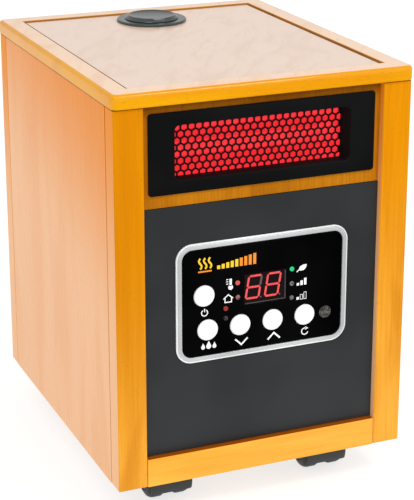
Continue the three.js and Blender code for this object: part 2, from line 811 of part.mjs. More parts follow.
function blowerScroll() {
  const { x, y, z, depth, wall, cutoff, foot } = BLOWER;
  const [near, far] = about(0, depth);
  const reach = RISER.floor - GAP - z;
  const footBottom = BASE_FACE + GAP - z;
  const feet = [-1, 1].map((side) =>
    block(about(side * foot.x, foot.width), about(0, depth - 10), [footBottom, -cutoff]),
  );
  const outside = join(prismY(scrollOutline(0, reach), [near, far]), ...feet);
  const inside = prismY(scrollOutline(wall, reach + 5), [near + wall, far - wall]);
  const inlet = turnY(bar(WHEEL.radius - 12, [far - wall - 1, far + 1]), 20);
  const shaftHole = turnY(bar(2 * WHEEL.shaft.radius, past([near, near + wall])), 12);
  return moved(cut(outside, inside, inlet, shaftHole), x, y, z);
}

/** The squirrel-cage wheel: back plate, blades, front ring, hub and shaft. */
function blowerWheel() {
  const { x, y, z, depth: housing } = BLOWER;
  const { radius, depth, clearance, plate, rim: band, blades, blade: vane, hub, shaft } = WHEEL;
  const near = -housing / 2 + clearance;
  const far = near + depth;
  const disc = turnY(bar(radius, [near, near + plate]), 20);
  const rim = turnY(ring(radius - band.width, radius, [far - band.depth, far]), 20);
  const boss = turnY(bar(hub.radius, [near + 1, near + hub.length]), 10);
  const axle = turnY(bar(shaft.radius, [-housing / 2 - shaft.reach, near + 10]), 8);
  const vanes = [];
  for (let i = 0; i < blades; i += 1) {
    const angle = (i / blades) * 2 * Math.PI;
    const blade = new THREE.BoxGeometry(vane.width, depth - band.depth, vane.thickness);
    blade.rotateY(vane.lean).translate(vane.radius, (near + far) / 2, 0).rotateY(angle);
    vanes.push(solid(blade));
  }
  return moved(join(disc, rim, boss, axle, ...vanes), x, y, z);
}

/** The motor's can, with a blind bore for the wheel's shaft. */
function blowerMotor() {
  const { x, y, z, depth } = BLOWER;
  const far = -depth / 2 - GAP;
  const near = far - MOTOR.length;
  const can = turnY(
    [
      [0, near],
      [MOTOR.radius - MOTOR.chamfer, near],
      [MOTOR.radius, near + MOTOR.chamfer],
      [MOTOR.radius, far],
      [0, far],
    ],
    24,
  );
  const bore = turnY(bar(MOTOR.bore, [far - MOTOR.boreDepth, far + 1]), 12);
  return moved(cut(can, bore), x, y, z);
}

function blower() {
  return assembly([
    part('blower_scroll', blowerScroll(), FINISHES.blackPlastic),
    part('blower_wheel', blowerWheel(), FINISHES.casterPlastic),
    part('blower_motor', blowerMotor(), FINISHES.motor),
  ]);
}

// ---------------------------------------------------------------- heater

/** The duct: a riser over the blower, joined to a level run that ends at the outlet. */
function heatChamber() {
  const { width, front: mouth, back: end, floor, ceiling, wall } = CHAMBER;
  const level = block(about(0, width), [mouth, end], [floor, ceiling]);
  const riserY = [BLOWER.y - BLOWER.depth / 2, RISER.back];
  const riser = block([RISER.left, RISER.right], [end - 1, riserY[1]], [RISER.floor, ceiling]);
  const inside = [floor + wall, ceiling - wall];
  const levelHollow = block(about(0, width - 2 * wall), [mouth - 1, end - wall], inside);
  const riserHollow = block(
    [RISER.left + wall, RISER.right - wall],
    [riserY[0] + wall, riserY[1] - wall],
    [RISER.floor - 1, ceiling - wall],
  );
  const throat = block(
    [RISER.left + wall, RISER.right - wall],
    past([end - wall, riserY[0] + wall]),
    inside,
  );
  return cut(join(level, riser), levelHollow, riserHollow, throat);
}

/** A quartz tube with a ceramic cap on each end, in one piece. */
function quartzLamp(z) {
  const { y, radius, capRadius, capLength, length } = LAMP;
  const half = length / 2;
  const profile = [
    [0, -half],
    [capRadius, -half],
    [capRadius, -half + capLength],
    [radius, -half + capLength],
    [radius, half - capLength],
    [capRadius, half - capLength],
    [capRadius, half],
    [0, half],
  ];
  return moved(turnX(profile, 16), 0, y, z);
}

/** The polished reflector: a shallow trough behind the lamps, with a cheek at each end. */
function lampReflector() {
  const { setBack, sheet, lip, dish, margin, land } = REFLECTOR;
  const [low, high] = [CHAMBER.floor + margin, CHAMBER.ceiling - margin];
  const middle = (low + high) / 2;
  const behind = LAMP.y + setBack;
  const front = [
    [behind - lip, low],
    [behind - dish, low + land],
    [behind, middle - land],
    [behind, middle + land],
    [behind - dish, high - land],
    [behind - lip, high],
  ];
  const rear = front.map(([y, z]) => [y + sheet, z]);
  const trough = outline([...rear, ...front.reverse()]);
  const halfLength = LAMP.length / 2 + GAP + sheet;
  const body = prismX(trough, [-halfLength, halfLength]);
  const cheeks = [-1, 1].map((side) => {
    const span = [side * (halfLength - sheet), side * halfLength].sort(ascending);
    return block(span, [LAMP.y - lip, behind + 0.4], [low + 8, high - 8]);
  });
  return join(body, ...cheeks);
}

/** A bank of upright fins between two edges, open from back to front. */
function finBank([low, high]) {
  const { y, depth, halfWidth, fins, finThickness, edge } = ELEMENT;
  const half = halfWidth - 2;
  const blank = block([-half, half], about(y, depth), [low, high]);
  const pitch = (2 * (half - edge)) / fins;
  const slots = [];
  for (let i = 0; i < fins; i += 1) {
    const left = -half + 2 + i * pitch;
    const across = [left, left + pitch - finThickness];
    slots.push(block(across, past(about(y, depth)), [low + edge, high - edge]));
  }
  return cut(blank, ...slots);
}

function heater() {
  const middle = (CHAMBER.floor + CHAMBER.ceiling) / 2;
  const { y, depth, halfWidth, strip: thickness, finHeight } = ELEMENT;
  const strip = block(about(0, 2 * halfWidth), about(y, depth), about(middle, thickness));
  const lowFins = middle - thickness / 2 - GAP;
  const highFins = middle + thickness / 2 + GAP;
  const underside = CHAMBER.floor - GAP;
  const can = turnZ(bar(CUTOUT.radius, [underside - CUTOUT.height, underside]), 16);
  return assembly([
    part('heat_chamber', heatChamber(), FINISHES.steel),
    part('quartz_lamp_lower', quartzLamp(LAMP.z[0]), FINISHES.quartz),
    part('quartz_lamp_upper', quartzLamp(LAMP.z[1]), FINISHES.quartz),
    part('lamp_reflector', lampReflector(), FINISHES.steel),
    part('ptc_strip', strip, FINISHES.ceramic),
    part('ptc_fins_lower', finBank([lowFins - finHeight, lowFins]), FINISHES.aluminium),
    part('ptc_fins_upper', finBank([highFins, highFins + finHeight]), FINISHES.aluminium),
    part('thermal_cutout', can, FINISHES.motor, [CUTOUT.x, CUTOUT.y, 0]),
  ]);
}

// ---------------------------------------------------------------- electrics on the base board

/** The power board: circuit board on feet, with its transformer, relay and heat sink. */
function powerBoard() {
  const { width, depth, thickness, lift, foot } = POWER_BOARD;
  const board = block([0, width], [0, depth], [lift, lift + thickness]);
  const feet = [foot, width - 2 * foot].flatMap((x) =>
    [foot, depth - 2 * foot].map((y) => block([x, x + foot], [y, y + foot], [0, lift + 0.4])),
  );
  const parts = Object.values(POWER_BOARD.parts).map(({ x, y, height }) =>
    block(x, y, [lift + 1, lift + height]),
  );
  return join(board, ...feet, ...parts);
}

/** The switch that cuts the power when the heater tips: a box on a mounting plate. */
function tipOverSwitch() {
  const { width, depth, height, plateWidth, plateThickness } = TIP_OVER;
  return join(
    block(about(0, width), about(0, depth), [0, height]),
    block(about(0, plateWidth), about(0, depth), [0, plateThickness]),
  );
}

function electrics() {
  const foot = BASE_FACE + GAP;
  return assembly([
    part('power_board', powerBoard(), FINISHES.circuit, [POWER_BOARD.x, POWER_BOARD.y, foot]),
    part('tip_over_switch', tipOverSwitch(), FINISHES.blackPlastic, [TIP_OVER.x, TIP_OVER.y, foot]),
  ]);
}

// ---------------------------------------------------------------- humidifier

/** The water cup: open at the top, hanging by its flange on the top panel. */
function waterCup() {
  const { radius, wall, flange, flangeThickness, floor } = CUP;
  const seat = INSET_FACE + GAP;
  const lid = seat + flangeThickness;
  const inner = radius - wall;
  return turnZ(
    [
      [0, floor],
      [radius - 2, floor],
      [radius, floor + 2],
      [radius, seat],
      [flange, seat],
      [flange, seat + 1],
      [flange - 1.4, lid],
      [inner + 0.3, lid],
      [inner, lid - 1],
      [inner, floor + wall],
      [0, floor + wall],
    ],
    24,
  );
}

/** The dished cap that turns in the cup's mouth; mist leaves through the notch in its rim. */
function mistCap() {
  const { radius, rim, height, dish, plug, plugDepth, plugWall, notch } = CAP;
  const seat = INSET_FACE + GAP + CUP.flangeThickness + GAP;
  const crown = seat + height;
  const body = turnZ(
    [
      [0, seat + 0.3],
      [plug - plugWall, seat + 0.3],
      [plug - plugWall, seat - plugDepth],
      [plug, seat - plugDepth],
      [plug, seat],
      [radius + 1, seat],
      [radius + 1, seat + 0.6],
      [radius, seat + 1.2],
      [rim, crown - 0.3],
      [rim - 0.9, crown],
      [rim - 1.8, crown - 0.3],
      [rim * 0.66, crown - 0.75 * dish],
      [0, crown - dish],
    ],
    24,
  );
  const slot = block(about(0, notch), [-radius - 4, -rim + 5], [crown - 1.5, crown + 1]);
  return cut(body, slot);
}

/** The fixed well below the top panel that the cup drops into. */
function cupCradle() {
  const inner = CUP.radius + CRADLE.clearance;
  const outer = inner + CRADLE.wall;
  const rim = INSET_FACE - INSET.thickness - GAP;
  const floor = CUP.floor - 2;
  return turnZ(
    [
      [0, floor - CRADLE.floor],
      [outer, floor - CRADLE.floor],
      [outer, rim],
      [inner, rim],
      [inner, floor],
      [0, floor],
    ],
    20,
  );
}

function humidifier() {
  const discFoot = CUP.floor + CUP.wall + GAP;
  const disc = turnZ(bar(MIST_DISC.radius, [discFoot, discFoot + MIST_DISC.thickness]), 20);
  return assembly(
    [
      part('water_cup', waterCup(), FINISHES.capPlastic),
      part('mist_cap', mistCap(), FINISHES.capPlastic),
      part('mist_disc', disc, FINISHES.steel),
      part('cup_cradle', cupCradle(), FINISHES.blackPlastic),
    ],
    [0, CUP.y, 0],
  );
}

// ---------------------------------------------------------------- casters
// A caster is drawn from its swivel axis at floor level; its wheels trail towards -Y.

/** The fixed plate under the base board, with the swivel's boss. */
function casterPlate() {
  const high = BASE_UNDERSIDE - GAP;
  const low = high - CASTER.plateThickness;
  const plate = prismZ(roundedRect(CASTER.plate, CASTER.plate, 4), [low, high], 2);
  return join(plate, turnZ(bar(CASTER.boss.radius, [low - CASTER.boss.height, low + 0.5]), 12));
}

/** The swivelling hood: a web between the wheels, a guard over and before them, and the axle's bore. */
function casterHood() {
  const { wheelRadius, wheelWidth, innerGap, trail, plateThickness, boss, collarHeight, guard } = CASTER;
  const top = BASE_UNDERSIDE - plateThickness - boss.height - 2 * GAP;
  const web = innerGap / 2 - CASTER.webClearance;
  const hub = turnX(bar(wheelRadius - 7, [-web, web]), 12);
  const neck = block([-web, web], [-trail, boss.radius], [wheelRadius, top]);
  const collar = turnZ(bar(boss.radius, [top - collarHeight, top]), 12);
  const inner = wheelRadius + guard.clearance;
  const band = new THREE.Shape();
  band.absarc(0, 0, inner + guard.thickness, guard.from, guard.to, false);
  band.absarc(0, 0, inner, guard.to, guard.from, true);
  const cover = prismX(band, about(0, innerGap + 2 * wheelWidth - 2), 8);
  const bore = turnX(bar(CASTER.bore, past([-web, web])), 8);
  const atAxle = (body) => moved(body, 0, -trail, wheelRadius);
  return cut(join(neck, collar, atAxle(hub), atAxle(cover)), atAxle(bore));
}

/** The twin wheels on their axle. */
function casterWheels() {
  const { wheelRadius, wheelWidth, innerGap, trail } = CASTER;
  const inner = innerGap / 2;
  const outer = inner + wheelWidth;
  const wheel = [
    [0, inner],
    [wheelRadius - 1.5, inner],
    [wheelRadius, inner + 1.5],
    [wheelRadius, outer - 5],
    [wheelRadius - 2, outer - 1.6],
    [wheelRadius - 5, outer],
    [0, outer - 1],
  ];
  const mirrored = wheel.map(([r, x]) => [r, -x]);
  const axle = turnX(bar(CASTER.axle, [-inner - 2, inner + 2]), 8);
  return moved(join(turnX(wheel, 20), turnX(mirrored, 20), axle), 0, -trail, wheelRadius);
}

function casters() {
  const [plate, hood, wheels] = [casterPlate(), casterHood(), casterWheels()];
  const places = { front_left: [-1, -1], front_right: [1, -1], rear_left: [-1, 1], rear_right: [1, 1] };
  const groups = Object.entries(places).map(([place, [sx, sy]]) =>
    assembly(
      [
        part(`${place}_caster_plate`, plate, FINISHES.steel),
        part(`${place}_caster_hood`, hood, FINISHES.casterPlastic),
        part(`${place}_caster_wheels`, wheels, FINISHES.casterPlastic),
      ],
      [sx * CASTER.x, sy * CASTER.y, 0],
    ),
  );
  return assembly(groups);
}

// ---------------------------------------------------------------- the whole heater

const cabinetHeater = assembly([
  cabinet(),
  front(),
  controls(),
  back(),
  blower(),
  heater(),
  electrics(),
  humidifier(),
  casters(),
]);

export default cabinetHeater;
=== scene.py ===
"""Looks of a portable wooden cabinet heater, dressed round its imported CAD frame.

The CAD nodes keep their places and meshes. Boards and mouldings whose CAD shape is right get
rounded arrises and a finish of their own. Turned, moulded and printed pieces, whose surfaces
need to be smoother than the frame's, are built here and stand for their CAD nodes.
Lengths in the dataclass fields are metres, unless a name ends in _mm or _deg.
"""

import logging
import math
from collections.abc import Iterable, Sequence
from dataclasses import dataclass, field
from enum import Enum

import bmesh
import bpy
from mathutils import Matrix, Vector


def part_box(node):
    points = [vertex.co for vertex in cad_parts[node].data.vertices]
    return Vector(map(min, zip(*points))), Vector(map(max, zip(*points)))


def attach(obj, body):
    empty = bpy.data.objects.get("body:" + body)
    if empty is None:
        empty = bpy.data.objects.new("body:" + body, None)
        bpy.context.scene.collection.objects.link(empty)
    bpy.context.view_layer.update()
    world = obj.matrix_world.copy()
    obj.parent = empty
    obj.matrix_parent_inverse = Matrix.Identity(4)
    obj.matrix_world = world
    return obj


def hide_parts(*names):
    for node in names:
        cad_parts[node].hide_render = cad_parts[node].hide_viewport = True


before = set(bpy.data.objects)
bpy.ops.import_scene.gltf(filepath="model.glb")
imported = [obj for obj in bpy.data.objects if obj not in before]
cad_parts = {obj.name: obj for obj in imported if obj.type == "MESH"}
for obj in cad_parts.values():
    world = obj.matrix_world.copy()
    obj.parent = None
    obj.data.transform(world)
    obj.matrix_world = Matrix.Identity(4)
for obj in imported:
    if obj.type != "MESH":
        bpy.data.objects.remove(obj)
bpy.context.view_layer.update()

MM = 0.001
LOG = logging.getLogger("cabinet_heater")

Point = tuple[float, float]
Colour = tuple[float, float, float]
Outline = list[Point]


def srgb(code: str) -> Colour:
    """Converts a colour as a designer writes it into the linear light that shaders use.

    Args:
        code: Six hexadecimal digits, red first.

    Returns:
        The red, green and blue amounts of linear light.
    """
    parts = [int(code[i : i + 2], 16) / 255 for i in (0, 2, 4)]
    return tuple(p / 12.92 if p <= 0.04045 else ((p + 0.055) / 1.055) ** 2.4 for p in parts)


def dimmed(colour: Colour, share: float) -> Colour:
    """Cuts every amount of light in a colour down to a share of it."""
    return tuple(c * share for c in colour)


# ---------------------------------------------------------------- shapes


class Drawn(Enum):
    """The face that an outline is drawn on; depth runs straight into that face."""

    PLAN = "plan"  # drawn in X and Y, with depth along +Z
    FRONT = "front"  # drawn in X and Z, with depth along +Y
    SIDE = "side"  # drawn in Y and Z, with depth along +X

    def place(self, u: float, v: float, depth: float) -> Vector:
        """Puts a drawn point in the heater's own frame.

        Args:
            u: First coordinate on the face.
            v: Second coordinate on the face.
            depth: Distance into the face.

        Returns:
            The point in X, Y and Z.
        """
        if self is Drawn.PLAN:
            return Vector((u, v, depth))
        if self is Drawn.FRONT:
            return Vector((u, depth, v))
        return Vector((depth, u, v))


def round_outline(radius: float, steps: int = 64) -> Outline:
    """Draws a circle round the origin.

    Args:
        radius: Its radius.
        steps: How many points it has.

    Returns:
        The circle's points.
    """
    turns = [2 * math.pi * i / steps for i in range(steps)]
    return [(radius * math.cos(t), radius * math.sin(t)) for t in turns]


def rounded_box(width: float, height: float, radius: float, steps: int = 8) -> Outline:
    """Draws a rectangle with round corners about the origin.

    Args:
        width: Whole width.
        height: Whole height.
        radius: Corner radius.
        steps: Steps in each corner's arc.

    Returns:
        The points, with the same number in every corner whatever the radius.
    """
    points: Outline = []
    for corner, (sx, sy) in enumerate([(1, 1), (-1, 1), (-1, -1), (1, -1)]):
        cx, cy = sx * (width / 2 - radius), sy * (height / 2 - radius)
        for i in range(steps + 1):
            turn = (corner + i / steps) * math.pi / 2
            points.append((cx + radius * math.cos(turn), cy + radius * math.sin(turn)))
    return points


def shifted(points: Iterable[Point], du: float, dv: float) -> Outline:
    """Moves drawn points by (du, dv) and returns them."""
    return [(u + du, v + dv) for u, v in points]


def ribbon(line: Sequence[Point], width: float) -> Outline:
    """Thickens an open line into a strip with mitred bends.

    Args:
        line: The points along its middle.
        width: The strip's width.

    Returns:
        The strip's outline.
    """
    left, right = [], []
    for i, (u, v) in enumerate(line):
        before = Vector(line[max(i - 1, 0)])
        after = Vector(line[min(i + 1, len(line) - 1)])
        here = Vector((u, v))
        runs = [step.normalized() for step in (here - before, after - here) if step.length > 0]
        heading = sum(runs, Vector((0, 0))).normalized()
        spread = width / 2 / max(heading.dot(runs[0]), 0.35)
        side = Vector((-heading.y, heading.x)) * spread
        left.append(tuple(here + side))
        right.append(tuple(here - side))
    return left + right[::-1]


def arc(radius: float, start_deg: float, end_deg: float, steps: int = 18) -> Outline:
    """Returns the points of an arc about the origin, from one angle to another."""
    angles = [math.radians(start_deg + (end_deg - start_deg) * i / steps) for i in range(steps + 1)]
    return [(radius * math.cos(a), radius * math.sin(a)) for a in angles]


def quarter(steps: int) -> list[float]:
    """Returns the angles of a quarter turn in radians, from 0 up."""
    return [i / steps * math.pi / 2 for i in range(steps + 1)]


def finished(name: str, form: bmesh.types.BMesh, sharp_deg: float = 32.0) -> bpy.types.Object:
    """Turns a working mesh into an object with smooth curves and crisp arrises.

    Args:
        name: The new object's name.
        form: The working mesh, which is freed.
        sharp_deg: Faces that meet at more than this stay crisp.

    Returns:
        The object, linked to the scene.
    """
    bmesh.ops.recalc_face_normals(form, faces=form.faces)
    mesh = bpy.data.meshes.new(name)
    form.to_mesh(mesh)
    form.free()
    mesh.shade_smooth()
    mesh.set_sharp_from_angle(angle=math.radians(sharp_deg))
    piece = bpy.data.objects.new(name, mesh)
    bpy.context.scene.collection.objects.link(piece)
    return piece


@dataclass(frozen=True)
class Section:
    """One cross-section of a lofted piece: an outline at a depth."""

    outline: Outline
    depth: float


def loft(
    name: str,
    sections: Sequence[Section],
    drawn: Drawn,
    centre: Vector,
    hollow: bool = False,
) -> bpy.types.Object:
    """Skins a row of cross-sections that have the same number of points.

    Args:
        name: The piece's name.
        sections: The sections, in order along the skin.
        drawn: The face that the outlines are drawn on.
        centre: What the outlines and depths are measured from.
        hollow: True where the last section joins the first, as in a frame; otherwise both ends close.

    Returns:
        The closed piece.
    """
    form = bmesh.new()
    rings = [[form.verts.new(centre + drawn.place(u, v, s.depth)) for u, v in s.outline] for s in sections]
    pairs = list(zip(rings, rings[1:]))
    if hollow:
        pairs.append((rings[-1], rings[0]))
    else:
        form.faces.new(rings[0])
        form.faces.new(rings[-1])
    for near, far in pairs:
        for i in range(len(near)):
            j = (i + 1) % len(near)
            form.faces.new((near[i], near[j], far[j], far[i]))
    return finished(name, form)


def turned(
    name: str,
    profile: Sequence[Point],
    drawn: Drawn,
    centre: Vector,
    hollow: bool = False,
    steps: int = 64,
) -> bpy.types.Object:
    """Turns a profile of (radius, depth) points into a round piece, as loft does."""
    sections = [Section(round_outline(radius, steps), depth) for radius, depth in profile]
    return loft(name, sections, drawn, centre, hollow)


def printed(name: str, outlines: Iterable[Outline], centre: Vector, film: float) -> bpy.types.Object:
    """Lays flat outlines on a front face as a thin film of ink or a thin inlay.

    Args:
        name: The piece's name.
        outlines: Closed outlines in X and Z, measured from the centre.
        centre: A point on the face.
        film: How far the film stands proud towards the front.

    Returns:
        One mesh with a closed solid for each outline.
    """
    form = bmesh.new()
    for points in outlines:
        back = [form.verts.new(centre + Vector((u, 0, v))) for u, v in points]
        front = [form.verts.new(centre + Vector((u, -film, v))) for u, v in points]
        form.faces.new(back)
        form.faces.new(front[::-1])
        for i in range(len(points)):
            j = (i + 1) % len(points)
            form.faces.new((back[i], back[j], front[j], front[i]))
    return finished(name, form)


def plate_with_holes(
    name: str,
    outer: Outline,
    holes: Iterable[Outline],
    centre: Vector,
    thickness: float,
    arris: float,
) -> bpy.types.Object:
    """Cuts a front plate with holes of any outline, its arrises slightly rounded.

    Args:
        name: The piece's name.
        outer: The plate's own outline in X and Z.
        holes: The holes' outlines.
        centre: The middle of the plate's front face.
        thickness: The plate's thickness.
        arris: Radius of its rounded arrises.

    Returns:
        The plate as one closed mesh.
    """
    curve = bpy.data.curves.new(name, "CURVE")
    curve.dimensions = "2D"
    curve.fill_mode = "BOTH"
    curve.extrude = thickness / 2 - arris
    curve.bevel_depth = arris
    curve.bevel_resolution = 2
    curve.offset = -arris
    for points in [outer, *holes]:
        spline = curve.splines.new("POLY")
        spline.points.add(len(points) - 1)
        spline.use_cyclic_u = True
        for knot, (u, v) in zip(spline.points, points):
            knot.co = (u, v, 0, 1)
    drawing = bpy.data.objects.new(name + "_drawing", curve)
    bpy.context.scene.collection.objects.link(drawing)
    bpy.context.view_layer.update()
    flat = bpy.data.meshes.new_from_object(drawing.evaluated_get(bpy.context.evaluated_depsgraph_get()))
    form = bmesh.new()
    form.from_mesh(flat)
    bpy.data.objects.remove(drawing)
    bpy.data.meshes.remove(flat)
    bpy.data.curves.remove(curve)
    bmesh.ops.remove_doubles(form, verts=form.verts, dist=1e-6)
    for vert in form.verts:
        u, v, depth = vert.co
        vert.co = centre + Vector((u, thickness / 2 - depth, v))
    return finished(name, form)


# ---------------------------------------------------------------- finishes


class Grain(Enum):
    """The way that a board's grain runs."""

    ACROSS = (1, 0, 0)
    DEEP = (0, 1, 0)
    UPRIGHT = (0, 0, 1)

    def stretch(self, along: float, across: float) -> Vector:
        """Returns the texture scale that draws long fibres this way, in cycles per metre."""
        return Vector([along if way else across for way in self.value])


def even(cycles: float) -> Vector:
    """Returns a texture scale that is the same every way, in cycles per metre."""
    return Vector((cycles, cycles, cycles))


class Sheet:
    """A material's node sheet, with a Principled surface that the finishes fill in."""

    def __init__(self, name: str) -> None:
        """Makes an empty material with its surface and the piece's own coordinates.

        Args:
            name: The material's name.
        """
        self.material = bpy.data.materials.new(name)
        self.material.use_nodes = True
        self.tree = self.material.node_tree
        self.tree.nodes.clear()
        output = self.tree.nodes.new("ShaderNodeOutputMaterial")
        self.surface = self.tree.nodes.new("ShaderNodeBsdfPrincipled")
        self.link(self.surface.outputs["BSDF"], output.inputs["Surface"])
        self.place = self.tree.nodes.new("ShaderNodeTexCoord").outputs["Object"]

    def link(self, source: bpy.types.NodeSocket, target: bpy.types.NodeSocket) -> None:
        """Joins two sockets."""
        self.tree.links.new(source, target)

    def fixed(self, **values: float | tuple) -> None:
        """Sets constant values straight on the surface's sockets, named with underscores."""
        for name, value in values.items():
            socket = self.surface.inputs[name.replace("_", " ")]
            socket.default_value = (*value, 1.0) if socket.type == "RGBA" else value

    def stretched(self, scale: Vector, turn_deg: float = 0.0) -> bpy.types.NodeSocket:
        """Scales the piece's coordinates, and may turn them in plan.

        Args:
            scale: Cycles per metre along each axis.
            turn_deg: A turn about +Z before scaling.

        Returns:
            The coordinates' socket.
        """
        source = self.place
        if turn_deg:
            turn = self.tree.nodes.new("ShaderNodeMapping")
            turn.inputs["Rotation"].default_value = (0, 0, math.radians(turn_deg))
            self.link(source, turn.inputs["Vector"])
            source = turn.outputs["Vector"]
        mapping = self.tree.nodes.new("ShaderNodeMapping")
        mapping.inputs["Scale"].default_value = scale
        self.link(source, mapping.inputs["Vector"])
        return mapping.outputs["Vector"]

    def noise(
        self,
        scale: Vector,
        detail: float = 3.0,
        roughness: float = 0.55,
        swirl: float = 0.0,
        turn_deg: float = 0.0,
    ) -> bpy.types.NodeSocket:
        """Adds a cloud of noise.

        Args:
            scale: Cycles per metre along each axis.
            detail: How many finer layers it has.
            roughness: How strong the finer layers are.
            swirl: How much it is distorted.
            turn_deg: A turn in plan.

        Returns:
            Its value, from 0 to 1 round a middle of 0.5.
        """
        texture = self.tree.nodes.new("ShaderNodeTexNoise")
        texture.inputs["Scale"].default_value = 1.0
        texture.inputs["Detail"].default_value = detail
        texture.inputs["Roughness"].default_value = roughness
        texture.inputs["Distortion"].default_value = swirl
        self.link(self.stretched(scale, turn_deg), texture.inputs["Vector"])
        return texture.outputs["Fac"]

    def band(self, value: bpy.types.NodeSocket, low: float, high: float) -> bpy.types.NodeSocket:
        """Maps a value so that it is 0 at low and 1 at high, with a smooth run between."""
        node = self.tree.nodes.new("ShaderNodeMapRange")
        node.interpolation_type = "SMOOTHSTEP"
        node.inputs["From Min"].default_value = low
        node.inputs["From Max"].default_value = high
        self.link(value, node.inputs["Value"])
        return node.outputs["Result"]

    def maths(
        self,
        operation: str,
        a: bpy.types.NodeSocket,
        b: bpy.types.NodeSocket | float,
    ) -> bpy.types.NodeSocket:
        """Joins a value with another value or a number by a named operation."""
        node = self.tree.nodes.new("ShaderNodeMath")
        node.operation = operation
        self.link(a, node.inputs[0])
        if isinstance(b, (int, float)):
            node.inputs[1].default_value = b
        else:
            self.link(b, node.inputs[1])
        return node.outputs["Value"]

    def mixed(
        self,
        share: bpy.types.NodeSocket,
        first: Colour | bpy.types.NodeSocket,
        second: Colour | bpy.types.NodeSocket,
        strength: float = 1.0,
    ) -> bpy.types.NodeSocket:
        """Mixes two colours.

        Args:
            share: How much of the second colour shows, from 0 to 1.
            first: A colour or a colour socket.
            second: A colour or a colour socket.
            strength: The most of the second colour that may show.

        Returns:
            The mixed colour.
        """
        node = self.tree.nodes.new("ShaderNodeMix")
        node.data_type = "RGBA"
        factor = self.maths("MULTIPLY", share, strength) if strength != 1.0 else share
        self.link(factor, node.inputs["Factor"])
        colours = [s for s in node.inputs if s.type == "RGBA"]
        for socket, colour in zip(colours, (first, second)):
            if isinstance(colour, bpy.types.NodeSocket):
                self.link(colour, socket)
            else:
                socket.default_value = (*colour, 1.0)
        return next(s for s in node.outputs if s.type == "RGBA")

    def axis(self, source: bpy.types.NodeSocket, name: str) -> bpy.types.NodeSocket:
        """Takes the X, Y or Z of a vector."""
        node = self.tree.nodes.new("ShaderNodeSeparateXYZ")
        self.link(source, node.inputs["Vector"])
        return node.outputs[name]

    def facing(self, name: str) -> bpy.types.NodeSocket:
        """Returns how far the surface faces along +X, +Y or +Z of the piece itself."""
        coordinates = self.tree.nodes.new("ShaderNodeTexCoord")
        return self.axis(coordinates.outputs["Normal"], name)

    def coloured(self, colour: bpy.types.NodeSocket) -> None:
        """Gives the surface a worked-out base colour."""
        self.link(colour, self.surface.inputs["Base Color"])

    def roughened(self, value: bpy.types.NodeSocket, low: float, high: float) -> None:
        """Lets a value from 0 to 1 move the roughness between low and high."""
        node = self.tree.nodes.new("ShaderNodeMapRange")
        node.inputs["To Min"].default_value = low
        node.inputs["To Max"].default_value = high
        self.link(value, node.inputs["Value"])
        self.link(node.outputs["Result"], self.surface.inputs["Roughness"])

    def embossed(self, height: bpy.types.NodeSocket, depth: float, strength: float = 1.0) -> None:
        """Raises the surface by a value; depth is in metres."""
        node = self.tree.nodes.new("ShaderNodeBump")
        node.inputs["Strength"].default_value = strength
        node.inputs["Distance"].default_value = depth
        self.link(height, node.inputs["Height"])
        self.link(node.outputs["Normal"], self.surface.inputs["Normal"])


@dataclass(frozen=True)
class Finish:
    """What a surface is made of. Subclasses fill in the node sheet."""

    name: str

    def material(self) -> bpy.types.Material:
        """Returns this finish as a material, made once and then shared."""
        title = f"{self.name}_finish"
        return bpy.data.materials.get(title) or self.draw(Sheet(title))

    def draw(self, sheet: Sheet) -> bpy.types.Material:
        """Fills in the node sheet and returns its material."""
        raise NotImplementedError


# Cycles in a metre of the wood's figure, along the grain and across it.
FIBRE_CYCLES: Point = (14, 520)
PORE_CYCLES: Point = (240, 1000)
CLOUD_CYCLES: Point = (3.2, 21)
# How far a face has to turn up, or to the side, before it takes its other colour.
TURNED_UP: Point = (0.93, 0.99)
TURNED_SIDEWAYS: Point = (0.85, 0.97)


